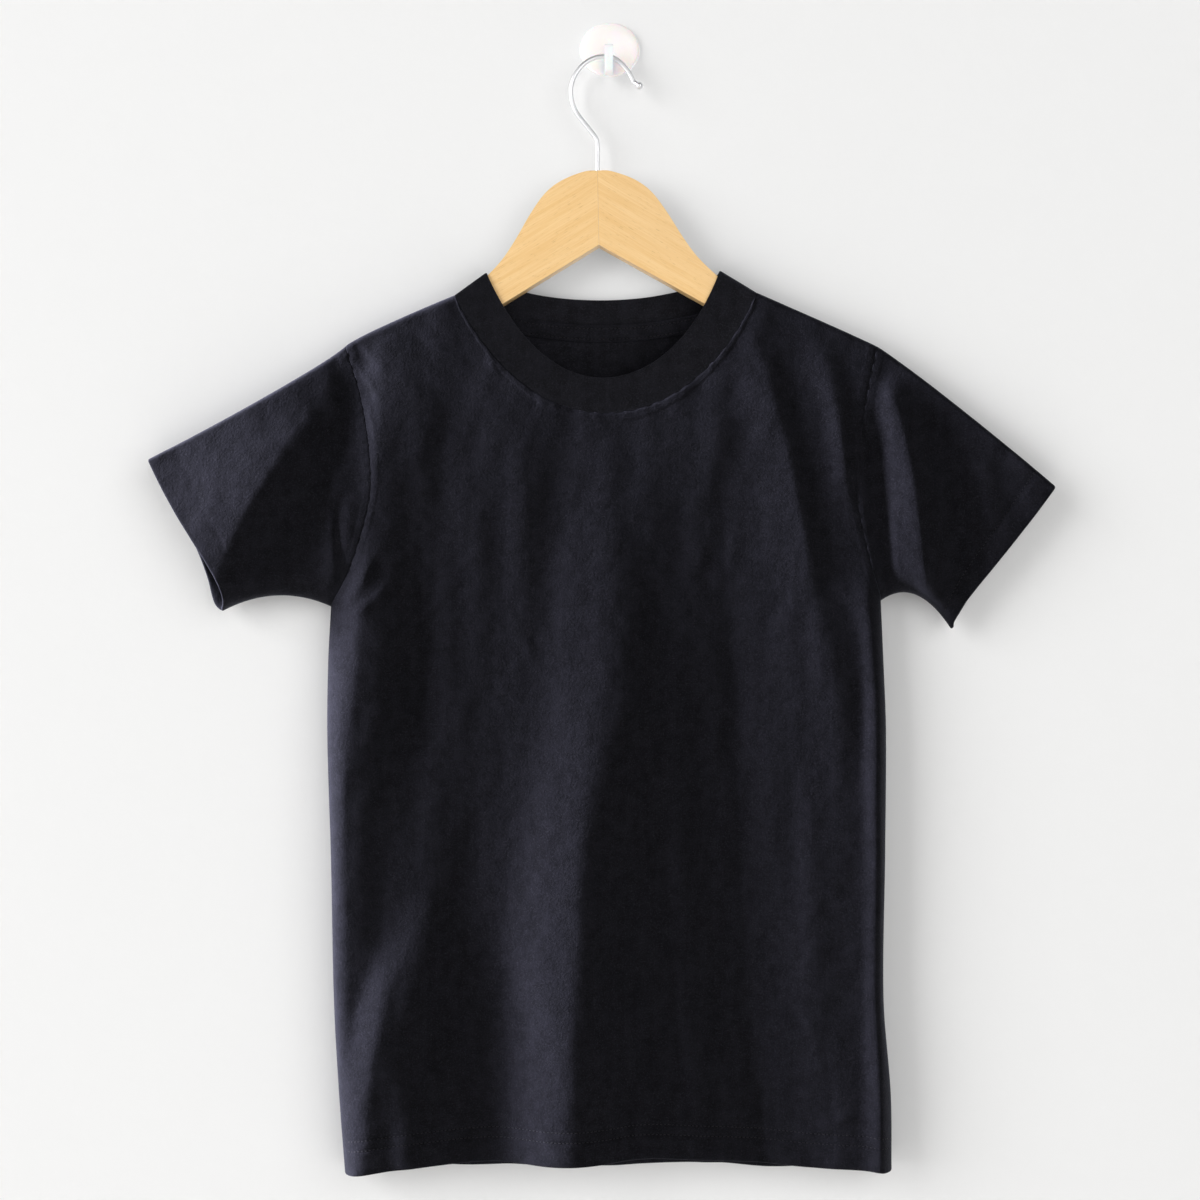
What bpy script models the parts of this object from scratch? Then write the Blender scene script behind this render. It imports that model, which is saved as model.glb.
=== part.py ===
"""A child's crew neck t-shirt on a flat wooden hanger, hung from a small wall hook.

Frame: the origin is on the wall hook's flat back, straight behind the seat in which the wire hangs,
+X runs to the viewer's right along the wall, +Y runs into the wall and +Z is up, so everything hangs
at negative Y.

The shirt is made from the pieces that its maker cuts: front, back, two sleeves, a rib neckband
and the tape that covers the back neck seam.  Each is an open surface with a wall.  A piece's
outline is worked out in the front view, as (across, up) points, and its depth comes from the face
of the shirt that it belongs to, with the main folds laid over it.
"""

from collections import namedtuple
from math import asin, cos, pi, radians, sin, sqrt, tan

import bmesh
import bpy
from mathutils import Matrix, Vector

FRONT, BACK = -1, 1
LEFT, RIGHT = -1, 1
MM = 0.001

# ---------------------------------------------------------------- driving dimensions, in metres
JERSEY_WALL = 0.0013        # single jersey
HEM_WALL = 0.0019           # jersey turned up on itself at the hem and the cuffs
RIB_WALL = 0.0015           # doubled rib of the neckband
TAPE_WALL = 0.0010
SEAM_GAP = 0.0007           # between two cut pieces along a seam
CLEARANCE = 0.0004          # between pieces that rest on each other
HEM_DEPTH = 0.020
CUFF_DEPTH = 0.015
TAPE_WIDTH = 0.010
TAPE_REACH = 0.066          # half the length of the tape

HANG_DEPTH = 0.012          # from the wall to the plane of the hook wire and the hanger
HANGER_THICKNESS = 0.013
HANGER_EDGE = 0.0020
HANGER_TILT = radians(1.2)
HANGER_TOP = Vector((-0.0064, -0.0724))
MITRE_CUT = 0.0004
WIRE_RADIUS = 0.0015
SHANK_DEPTH = 0.012         # length of the shank inside the wood
BORE_RADIUS = 0.0019

# Front-view corners of the shirt, as (across, up).
HEM_CORNERS = {LEFT: Vector((-0.1595, -0.6800)), RIGHT: Vector((0.1720, -0.6785))}
ARMPITS = {LEFT: Vector((-0.1685, -0.3370)), RIGHT: Vector((0.1660, -0.3335))}
SHOULDER_TIPS = {LEFT: Vector((-0.1594, -0.1797)), RIGHT: Vector((0.1632, -0.1774))}
HEM_RISE = {FRONT: 0.0086, BACK: 0.0002}
SHOULDER_CROWN = {LEFT: 0.0017, RIGHT: 0.0004}
SHOULDER_SHARE = 0.20       # share of a panel's top edge that is each shoulder seam
ARMPIT_SHARE = 0.69         # share of a panel's height at which its armhole starts
RIDGE_ROUND = 0.0055        # height over which the cloth bends down off the hanger's arm
RIDGE_SQUARENESS = 3.4
SIDE_ROUND = 0.036          # share of the width over which the cloth turns at a side seam
SIDE_SQUARENESS = 2.5
UNDERARM_ROUND = 0.030      # height over which an armhole and a sleeve open above the armpit

# How far each side seam stands out from a straight line, by height, in millimetres.
SideLevel = namedtuple("SideLevel", "share left right")
SIDE_LEVELS = (
    SideLevel(0.00, 0.0, 0.0),
    SideLevel(0.13, 2.4, 0.4),
    SideLevel(0.30, 4.2, -3.0),
    SideLevel(0.55, 3.8, -0.4),
    SideLevel(0.77, 4.2, 1.6),
    SideLevel(0.90, 2.6, 0.8),
    SideLevel(1.00, 0.0, 0.0),
)
# How far each armhole seam is cut in from a straight line, armpit to tip, in millimetres.
ArmholeLevel = namedtuple("ArmholeLevel", "share left right")
ARMHOLE_LEVELS = (
    ArmholeLevel(0.00, 0.0, 0.0),
    ArmholeLevel(0.14, 11.0, 6.5),
    ArmholeLevel(0.40, 21.0, 14.2),
    ArmholeLevel(0.57, 19.8, 12.6),
    ArmholeLevel(0.80, 11.6, 7.0),
    ArmholeLevel(1.00, 0.0, 0.0),
)
# Distance from the wall, in millimetres, of the side seams and of both faces, by height.
DepthLevel = namedtuple("DepthLevel", "down seam front back")
DEPTH_LEVELS = (
    DepthLevel(130, 12.0, 20.6, 3.4),
    DepthLevel(185, 12.0, 20.9, 3.3),
    DepthLevel(220, 12.4, 22.8, 2.9),
    DepthLevel(300, 13.4, 25.2, 2.4),
    DepthLevel(420, 14.6, 27.4, 2.2),
    DepthLevel(560, 15.6, 29.2, 2.2),
    DepthLevel(690, 16.6, 31.2, 2.6),
)
# Both edges of the neckband in the front view, in millimetres: its seam and its folded edge.
NeckEdge = namedtuple("NeckEdge", "middle half_width end_down front_drop back_drop")
NECK_SEAM = NeckEdge(-1.5, 91.8, 146.7, 73.0, 23.0)
NECK_FOLD = NeckEdge(-3.0, 71.8, 133.5, 65.6, 16.5)
NECK_TILT = tan(radians(0.5))
# Each quarter of the neck is an arc of an ellipse that starts this far round from its side.
NECK_START = {
    (FRONT, LEFT): radians(40), (FRONT, RIGHT): radians(30),
    (BACK, LEFT): radians(20), (BACK, RIGHT): radians(20),
}

# The largest folds: a crest or trough from its top to its foot, in millimetres.  A positive lift
# stands out from the face, a negative one is pressed into it.
Fold = namedtuple(
    "Fold", "face top_x top_down foot_x foot_down bow left_width right_width lift foot_lift")
FOLDS = (
    Fold(FRONT, 6, 262, -22, 720, -6, 44, 32, 5.0, 7.5),        # centre crest
    Fold(FRONT, 32, 380, 58, 720, 5, 22, 34, 2.5, 4.0),         # crest beside it
    Fold(FRONT, 74, 250, 91, 720, 4, 34, 48, -3.5, -6.0),       # long trough at the right
    Fold(FRONT, -128, 188, -160, 400, 3, 14, 30, 4.5, 2.0),     # drag from the left armhole
    Fold(FRONT, -118, 480, -103, 720, -5, 36, 24, 3.0, 6.0),    # tent above the hem
    Fold(FRONT, -230, 215, -215, 345, 0, 30, 26, 3.0, 1.5),     # left sleeve, outer swell
    Fold(FRONT, 182, 215, 190, 345, 0, 12, 20, 3.0, 2.5),       # right sleeve, beside the armhole
    Fold(BACK, -96, 300, -82, 720, 4, 40, 30, -4.0, -6.5),
    Fold(BACK, 8, 380, 20, 720, -4, 34, 44, -3.0, -5.0),
    Fold(BACK, 104, 260, 96, 720, -5, 32, 36, -4.5, -6.0),
)
FOLD_FADE = 0.22            # share of a fold's length over which it comes up

# Each sleeve in the front view: the ends of its cuff, how far its edges bow, in millimetres.
Sleeve = namedtuple("Sleeve", "cuff_top cuff_foot top_bow under_bow front_bow back_bow")
SLEEVES = {
    LEFT: Sleeve(Vector((-0.2788, -0.2490)), Vector((-0.2342, -0.3395)), -2.6, 8.0, 6.6, 1.0),
    RIGHT: Sleeve(Vector((0.2709, -0.2635)), Vector((0.2085, -0.3500)), 2.2, 12.0, 4.0, 3.6),
}
SLEEVE_DEPTH = {FRONT: 0.0100, BACK: 0.0085}    # from the middle of a cuff to each face
CUFF_MIDDLE = 0.0135                            # from the wall to the middle of a cuff

# The wooden hanger's upper and lower edges, from the middle out, in millimetres.
HangerPoint = namedtuple("HangerPoint", "across down")
HANGER_UPPER = (
    HangerPoint(0, 0.0), HangerPoint(8, 0.4), HangerPoint(21.8, 5.5), HangerPoint(32, 13.0),
    HangerPoint(41, 25.0), HangerPoint(51, 41.4), HangerPoint(60, 54.0), HangerPoint(72, 66.0),
    HangerPoint(79, 71.6), HangerPoint(95, 80.0), HangerPoint(124, 93.4), HangerPoint(143, 101.4),
    HangerPoint(149, 105.0),
)
HANGER_LOWER = (
    HangerPoint(150.5, 109.0), HangerPoint(145, 114.6), HangerPoint(124, 110.2), HangerPoint(95, 98.6),
    HangerPoint(66.7, 84.0), HangerPoint(0, 45.0),
)

# The hook wire: a straight shank, a cranked neck, and an open bow that ends in a ball.
CRANK_POINTS = (
    Vector((-0.0064, -0.0640)), Vector((-0.0064, -0.0545)), Vector((-0.0082, -0.0497)),
    Vector((-0.0172, -0.0380)),
)
# The bow's middle line from the crank to its free end, bent by hand, in millimetres.
BowPoint = namedtuple("BowPoint", "across up")
BOW_POINTS = (
    BowPoint(-20.6, -33.0), BowPoint(-22.3, -27.0), BowPoint(-22.5, -21.0), BowPoint(-21.2, -15.4),
    BowPoint(-18.5, -10.4), BowPoint(-14.4, -5.9), BowPoint(-8.9, -2.7), BowPoint(-2.6, -1.5),
    BowPoint(3.4, -2.5), BowPoint(8.4, -6.1), BowPoint(12.6, -11.2), BowPoint(15.5, -16.8),
)
BOW_TOP = max(point.up for point in BOW_POINTS) * MM
BALL_CENTRE = Vector((0.0191, -0.0194))
BALL_RADIUS = 0.0024

# The wall hook: an oval domed plate with an up-turned peg.
PLATE_MIDDLE = Vector((0.0010, 0.0054))
PLATE_HALF_WIDTH = 0.0184
PLATE_HALF_HEIGHT = 0.0165
PLATE_RIM = 0.0016
PLATE_DOME = 0.0044
PEG_WIDTH = 0.0052
PEG_MIDDLE = 0.0005
SEAT_RADIUS = WIRE_RADIUS + CLEARANCE
SEAT_DROP = 0.0010          # room below the wire for the fall of its bow across the peg
# Side view of the peg, in millimetres: from the plate out below the wire and up in front of it,
# then, behind the wire, from its seat back to the plate.
PegPoint = namedtuple("PegPoint", "out up")
PEG_BELOW = (
    PegPoint(1.0, -9.0), PegPoint(6.0, -11.9), PegPoint(11.0, -12.1), PegPoint(14.5, -10.2),
    PegPoint(16.3, -6.0), PegPoint(16.7, -1.5), PegPoint(16.7, 3.4), PegPoint(15.9, 4.8),
    PegPoint(14.9, 5.0), PegPoint(14.0, 4.0),
)
PEG_BEHIND = (PegPoint(7.5, -1.2), PegPoint(1.0, 1.0))


# ---------------------------------------------------------------- scene and materials
def clear_scene():
    for item in list(bpy.data.objects):
        bpy.data.objects.remove(item, do_unlink=True)


def new_collection(name):
    collection = bpy.data.collections.new(name)
    bpy.context.scene.collection.children.link(collection)
    return collection


def new_material(name, color, roughness, metallic=0.0):
    material = bpy.data.materials.new(name)
    material.use_nodes = True
    shader = material.node_tree.nodes["Principled BSDF"]
    shader.inputs["Base Color"].default_value = (*color, 1.0)
    shader.inputs["Roughness"].default_value = roughness
    shader.inputs["Metallic"].default_value = metallic
    return material


def add_object(name, data, material, collection):
    item = bpy.data.objects.new(name, data)
    item.data.materials.clear()
    item.data.materials.append(material)
    collection.objects.link(item)
    return item


def as_mesh(item):
    """The object's evaluated mesh, with a curve's loose caps welded on."""
    graph = bpy.context.evaluated_depsgraph_get()
    mesh = bpy.data.meshes.new_from_object(item.evaluated_get(graph))
    build = bmesh.new()
    build.from_mesh(mesh)
    bmesh.ops.remove_doubles(build, verts=build.verts, dist=0.00001)
    build.to_mesh(mesh)
    build.free()
    return mesh


# ---------------------------------------------------------------- curves in the front view
def mix(first, second, share):
    return first * (1.0 - share) + second * share


def smooth_step(value):
    value = min(max(value, 0.0), 1.0)
    return value * value * (3.0 - 2.0 * value)


def read_rows(rows, column, place):
    """Value of one column at a place in the first, on a smooth curve through the rows."""
    knots = [row[0] for row in rows]
    values = [getattr(row, column) for row in rows]
    last = len(rows) - 1

    def slope(index):
        before, after = max(index - 1, 0), min(index + 1, last)
        return (values[after] - values[before]) / (knots[after] - knots[before])

    index = 0
    while index < last - 1 and place > knots[index + 1]:
        index += 1
    span = knots[index + 1] - knots[index]
    u = min(max((place - knots[index]) / span, 0.0), 1.0)
    start, end = values[index], values[index + 1]
    bend = slope(index) * span * u * (1 - u) ** 2 - slope(index + 1) * span * u * u * (1 - u)
    return mix(start, end, smooth_step(u)) + bend


def bowed(start, end, share, bow, lean=1.0):
    """Point on a line that bows by a vector; a lean above 1 moves the bow towards the end."""
    u = share ** lean
    return mix(start, end, share) + bow * 4.0 * u * (1.0 - u)


def round_off(share, squareness):
    """Height of a squared quarter turn, 0 at its start and 1 where it has turned."""
    return (1.0 - (1.0 - min(max(share, 0.0), 1.0)) ** squareness) ** (1.0 / squareness)


def turn_steps(count, squareness):
    """Even steps round a squared quarter turn, as shares of its width."""
    angles = [pi / 2 * step / count for step in range(count + 1)]
    return [1.0 - cos(angle) ** (2.0 / squareness) for angle in angles]


def hem_edge(face, share):
    rise = Vector((0.0, HEM_RISE[face]))
    return bowed(HEM_CORNERS[LEFT], HEM_CORNERS[RIGHT], share, rise)


def neck_edge(band_share, angle):
    """Ring round the neck: 0 is the left shoulder, pi/2 front, pi right shoulder, 3/2 pi back.

    A band share of 0 is the seam and 1 is the folded edge.
    """
    edge = NeckEdge(*(mix(a, b, band_share) for a, b in zip(NECK_SEAM, NECK_FOLD)))
    face = FRONT if sin(angle) > 0 else BACK
    hand = LEFT if cos(angle) > 0 else RIGHT
    start = NECK_START[face, hand]
    swept = mix(start, pi / 2, asin(min(abs(sin(angle)), 1.0)) / (pi / 2))
    x = edge.middle + hand * edge.half_width * cos(swept) / cos(start)
    drop = edge.front_drop if face == FRONT else edge.back_drop
    down = edge.end_down + drop * (sin(swept) - sin(start)) / (1.0 - sin(start))
    return Vector((x, x * NECK_TILT - down)) * MM


def neck_end(band_share, hand):
    return neck_edge(band_share, 0.0 if hand == LEFT else pi)


def shoulder_edge(hand, share):
    """Shoulder seam, from its tip to the neckband."""
    return bowed(SHOULDER_TIPS[hand], neck_end(0.0, hand), share, Vector((0.0, SHOULDER_CROWN[hand])), 0.6)


def top_edge(face, share):
    if share <= SHOULDER_SHARE:
        return shoulder_edge(LEFT, share / SHOULDER_SHARE)
    if share >= 1.0 - SHOULDER_SHARE:
        return shoulder_edge(RIGHT, (1.0 - share) / SHOULDER_SHARE)
    return neck_edge(0.0, neck_angle(face, share))


def neck_angle(face, share):
    turn = pi * (share - SHOULDER_SHARE) / (1.0 - 2.0 * SHOULDER_SHARE)
    return turn if face == FRONT else 2.0 * pi - turn


def side_name(hand):
    return "left" if hand == LEFT else "right"


def armhole_edge(hand, share):
    """Armhole seam, from the armpit to the shoulder tip."""
    inset = read_rows(ARMHOLE_LEVELS, side_name(hand), share) * MM
    return mix(ARMPITS[hand], SHOULDER_TIPS[hand], share) - Vector((hand * inset, 0.0))


def side_edge(hand, share):
    """A panel's whole side: the side seam up to the armpit, then the armhole."""
    if share > ARMPIT_SHARE:
        return armhole_edge(hand, (share - ARMPIT_SHARE) / (1.0 - ARMPIT_SHARE))
    climb = share / ARMPIT_SHARE
    out = read_rows(SIDE_LEVELS, side_name(hand), climb) * MM
    return mix(HEM_CORNERS[hand], ARMPITS[hand], climb) + Vector((hand * out, 0.0))


def fill_patch(across, up, foot, top, left, right):
    """Coons patch between four edges, each a function of its own share."""
    between_ends = mix(foot(across), top(across), up)
    between_sides = mix(left(up), right(up), across)
    corners = mix(mix(left(0.0), right(0.0), across), mix(left(1.0), right(1.0), across), up)
    return between_ends + between_sides - corners


# ---------------------------------------------------------------- depth of the cloth
def fold_lift(face, point):
    """How far the folds raise the cloth off its face at a front-view point."""
    x, down = point.x / MM, -point.y / MM
    total = 0.0
    for fold in FOLDS:
        run = (down - fold.top_down) / (fold.foot_down - fold.top_down)
        if fold.face != face or not 0.0 < run < 1.0:
            continue
        crest = mix(fold.top_x, fold.foot_x, run) + fold.bow * 4.0 * run * (1.0 - run)
        width = fold.left_width if x < crest else fold.right_width
        aside = abs(x - crest) / width
        if aside < 1.0:
            fade = smooth_step(run / FOLD_FADE) * smooth_step((1.0 - run) / FOLD_FADE)
            total += mix(fold.lift, fold.foot_lift, run) * fade * cos(pi / 2 * aside) ** 2
    return total * MM


def face_depth(face, point):
    """Y of the front or back face of the shirt at a front-view point."""
    column = "front" if face == FRONT else "back"
    wall_distance = read_rows(DEPTH_LEVELS, column, -point.y / MM) * MM
    return -wall_distance + face * fold_lift(face, point)


def ridge_drop(point):
    """How far a front-view point lies below the line on which the cloth hangs over the hanger."""
    hand = LEFT if point.x < NECK_SEAM.middle * MM else RIGHT
    tip, seam, fold = SHOULDER_TIPS[hand], neck_end(0.0, hand), neck_end(1.0, hand)
    share = (point.x - tip.x) / (seam.x - tip.x)
    if share <= 1.0:
        ridge = shoulder_edge(hand, max(share, 0.0)).y
    else:
        ridge = seam.y + (fold.y - seam.y) * (point.x - seam.x) / (fold.x - seam.x)
    return max(ridge - point.y, 0.0)


def cloth_depth(face, point):
    """Y of the cloth, which comes down off the hanger's arms into the front and back faces."""
    on_ridge = -HANG_DEPTH + face * SEAM_GAP / 2
    come_down = round_off(ridge_drop(point) / RIDGE_ROUND, RIDGE_SQUARENESS)
    return mix(on_ridge, face_depth(face, point), come_down)


def side_depth(face, hand, share):
    """Y of a panel's side edge: on the side seam, then round the open armhole."""
    point = side_edge(hand, share)
    seam = -read_rows(DEPTH_LEVELS, "seam", -point.y / MM) * MM + face * SEAM_GAP / 2
    height = SHOULDER_TIPS[LEFT].y - ARMPITS[LEFT].y
    above_armpit = (share - ARMPIT_SHARE) / (1.0 - ARMPIT_SHARE) * height
    return mix(seam, cloth_depth(face, point), round_off(above_armpit / UNDERARM_ROUND, SIDE_SQUARENESS))


def panel_point(face, across, turned, up):
    """Point of the front or back panel; turned is how far it has come round from the side seam."""
    point = fill_patch(
        across, up,
        lambda share: hem_edge(face, share), lambda share: top_edge(face, share),
        lambda share: side_edge(LEFT, share), lambda share: side_edge(RIGHT, share))
    side = mix(side_depth(face, LEFT, up), side_depth(face, RIGHT, up), across)
    return Vector((point.x, mix(side, cloth_depth(face, point), turned), point.y))


# ---------------------------------------------------------------- steps that neighbours share
SIDE_TURN_STEPS = 4
RIDGE_TURN_STEPS = 4
SHOULDER_STEPS = 3
HALF_NECK_STEPS = 7
HEM_ROWS = 3                # rows of points in a hem, its edge and its stitching among them
BODY_STEPS = 10
ARMHOLE_STEPS = (0.0, 0.025, 0.08, 0.18, 0.32, 0.46, 0.60, 0.74, 0.87)
SLEEVE_STEPS = 6
TAPE_STEPS = 12
BOW_STEPS = 2               # from each point of the bow to the next
DOME_STEPS = 5
PLATE_STEPS = 32
SEAT_STEPS = 6
BALL_STEPS = (-0.8, -0.5, 0.0, 0.5, 0.8, 0.97)     # shares of the ball's radius, along the wire


def neck_turns():
    """Angles from a shoulder to the middle of the neck, closer where the cloth leaves the hanger."""
    first = RIDGE_ROUND / (NECK_SEAM.front_drop * MM)
    near = [first * step for step in turn_steps(RIDGE_TURN_STEPS, RIDGE_SQUARENESS)]
    rest = [mix(near[-1], pi / 2, i / HALF_NECK_STEPS) for i in range(1, HALF_NECK_STEPS + 1)]
    return near + rest


def panel_columns():
    """Shares across a panel, with how far each has turned from the side seam."""
    turn = [
        (SIDE_ROUND * step, round_off(step, SIDE_SQUARENESS))
        for step in turn_steps(SIDE_TURN_STEPS, SIDE_SQUARENESS)]
    shoulder = [mix(SIDE_ROUND, SHOULDER_SHARE, i / SHOULDER_STEPS) for i in range(1, SHOULDER_STEPS)]
    half_neck = [mix(SHOULDER_SHARE, 0.5, angle / (pi / 2)) for angle in neck_turns()]
    left = turn + [(share, 1.0) for share in shoulder + half_neck]
    return left + [(1.0 - share, turned) for share, turned in reversed(left[:-1])]


def armhole_steps():
    """Shares up an armhole, closer where the cloth turns at its two ends."""
    height = SHOULDER_TIPS[LEFT].y - ARMPITS[LEFT].y
    turn = turn_steps(RIDGE_TURN_STEPS, RIDGE_SQUARENESS)
    return list(ARMHOLE_STEPS) + [1.0 - RIDGE_ROUND / height * step for step in reversed(turn)]


def panel_rows():
    """Shares up a panel: its hem, its side seam and its armhole."""
    hem = HEM_DEPTH / (SHOULDER_TIPS[LEFT].y - HEM_CORNERS[LEFT].y)
    body = [mix(hem, ARMPIT_SHARE, i / BODY_STEPS) for i in range(BODY_STEPS)]
    armhole = [mix(ARMPIT_SHARE, 1.0, share) for share in armhole_steps()]
    return [0.0, hem / 2] + body + armhole


# ---------------------------------------------------------------- cloth pieces
def cloth_piece(name, grid, flip, closed, thick_rows, walls, material, collection):
    """Object from rows of points, with a wall that is thicker along its first rows."""
    build = bmesh.new()
    rows = [[build.verts.new(point) for point in row] for row in grid]
    count = len(rows[0])
    for lower, upper in zip(rows, rows[1:]):
        for index in range(count if closed else count - 1):
            after = (index + 1) % count
            corners = (lower[index], lower[after], upper[after], upper[index])
            build.faces.new(corners[::-1] if flip else corners)
    mesh = bpy.data.meshes.new(name)
    build.to_mesh(mesh)
    build.free()
    mesh.shade_smooth()
    item = add_object(name, mesh, material, collection)
    thin, thick = walls
    doubled = item.vertex_groups.new(name="turned_up")
    doubled.add(list(range(count * thick_rows)), 1.0, "REPLACE")
    wall = item.modifiers.new("wall", "SOLIDIFY")
    wall.thickness = thick
    wall.offset = -1.0
    wall.vertex_group = doubled.name
    wall.thickness_vertex_group = thin / thick
    wall.use_quality_normals = True
    return item


def make_panel(name, face, material, collection):
    columns = panel_columns()
    grid = [[panel_point(face, across, turned, up) for across, turned in columns] for up in panel_rows()]
    walls = (JERSEY_WALL, HEM_WALL)
    return cloth_piece(name, grid, face == BACK, False, HEM_ROWS, walls, material, collection)


def sleeve_point(hand, face, up, out):
    """Point of a sleeve: up from the underarm to the top, out from the armhole to the cuff."""
    sleeve = SLEEVES[hand]
    cuff_bow = Vector((-hand * (sleeve.front_bow if face == FRONT else sleeve.back_bow) * MM, 0.0))
    top_bow = Vector((0.0, sleeve.top_bow * MM))
    under_bow = Vector((0.0, sleeve.under_bow * MM))
    point = fill_patch(
        out, up,
        lambda share: bowed(ARMPITS[hand], sleeve.cuff_foot, share, under_bow),
        lambda share: bowed(SHOULDER_TIPS[hand], sleeve.cuff_top, share, top_bow, 0.75),
        lambda share: armhole_edge(hand, share),
        lambda share: bowed(sleeve.cuff_foot, sleeve.cuff_top, share, cuff_bow, 0.7))
    point += Vector((hand * SEAM_GAP * (1.0 - out), 0.0))
    share_up = mix(ARMPIT_SHARE, 1.0, up)
    armhole = side_depth(face, hand, share_up)
    height = SHOULDER_TIPS[LEFT].y - ARMPITS[LEFT].y
    turned = min(round_off(up * height / UNDERARM_ROUND, SIDE_SQUARENESS),
                 round_off((1.0 - up) * height / RIDGE_ROUND, RIDGE_SQUARENESS))
    cuff = -CUFF_MIDDLE + face * SLEEVE_DEPTH[face] * turned
    lift = face * fold_lift(face, point) * turned * sin(pi * out)
    depth = mix(armhole, cuff, smooth_step(out)) + lift
    if up in (0.0, 1.0):
        depth -= face * SEAM_GAP / 2 * (1.0 - smooth_step(out))
    return Vector((point.x, depth, point.y))


def make_sleeve(name, hand, material, collection):
    ups = armhole_steps()
    cuff_length = (SLEEVES[hand].cuff_top - SHOULDER_TIPS[hand]).length
    hem = 1.0 - CUFF_DEPTH / cuff_length
    outs = [1.0, mix(1.0, hem, 0.5)] + [hem * i / SLEEVE_STEPS for i in range(SLEEVE_STEPS, -1, -1)]
    grid = []
    for out in outs:
        front = [sleeve_point(hand, FRONT, up, out) for up in reversed(ups)]
        back = [sleeve_point(hand, BACK, up, out) for up in ups[1:-1]]
        grid.append(front + back)
    walls = (JERSEY_WALL, HEM_WALL)
    return cloth_piece(name, grid, hand == RIGHT, True, HEM_ROWS, walls, material, collection)


def neckband_point(angle, band_share):
    """Point of the neckband, which starts just clear of the panels' neck edges."""
    face = FRONT if 0.0 < angle < pi else BACK
    width = (neck_edge(1.0, angle) - neck_edge(0.0, angle)).length
    share = mix(SEAM_GAP / width, 1.0, band_share)
    point = neck_edge(share, angle)
    return Vector((point.x, cloth_depth(face, point), point.y))


def make_neckband(name, material, collection):
    quarter = neck_turns()
    half = quarter + [pi - angle for angle in quarter[-2::-1]]
    angles = half[:-1] + [pi + angle for angle in half[:-1]]
    grid = [[neckband_point(angle, share) for angle in angles] for share in (0.0, 0.5, 1.0)]
    return cloth_piece(name, grid, False, True, 1, (RIB_WALL, RIB_WALL), material, collection)


def make_neck_tape(name, material, collection):
    """The tape lies on the inside of the back neck seam, half on the band, half on the panel."""
    inside = RIB_WALL + CLEARANCE
    reach = asin(TAPE_REACH / (NECK_SEAM.half_width * MM))
    grid = []
    for drop in (-TAPE_WIDTH / 2, 0.0, TAPE_WIDTH / 2):
        row = []
        for step in range(TAPE_STEPS + 1):
            angle = 1.5 * pi + reach * (2.0 * step / TAPE_STEPS - 1.0)
            point = neck_edge(0.0, angle)
            depth = cloth_depth(BACK, point) - inside
            row.append(Vector((point.x, depth, point.y + drop)))
        grid.append(row)
    return cloth_piece(name, grid, False, False, 1, (TAPE_WALL, TAPE_WALL), material, collection)


# ---------------------------------------------------------------- hanger
def flat_piece(name, outline, thickness, collection):
    """Curve object that fills an outline, drawn in its own XY plane, to a thickness."""
    curve = bpy.data.curves.new(name, "CURVE")
    curve.dimensions = "2D"
    curve.fill_mode = "BOTH"
    curve.extrude = thickness / 2
    spline = curve.splines.new("POLY")
    spline.points.add(len(outline) - 1)
    for point, (x, y) in zip(spline.points, outline):
        point.co = (x, y, 0.0, 1.0)
    spline.use_cyclic_u = True
    item = bpy.data.objects.new(name, curve)
    collection.objects.link(item)
    return item


def smooth_points(rows, steps):
    """Points between rows of two sizes, on a curve through them, the last one left out."""
    points = []
    for index in range(len(rows) - 1):
        near = [Vector(rows[min(max(index + k, 0), len(rows) - 1)]) for k in (-1, 0, 1, 2)]
        for step in range(steps):
            u = step / steps
            bend = (near[2] - near[0]) / 2 * u * (1 - u) ** 2 - (near[3] - near[1]) / 2 * u * u * (1 - u)
            points.append(mix(near[1], near[2], smooth_step(u)) + bend)
    return points


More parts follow.
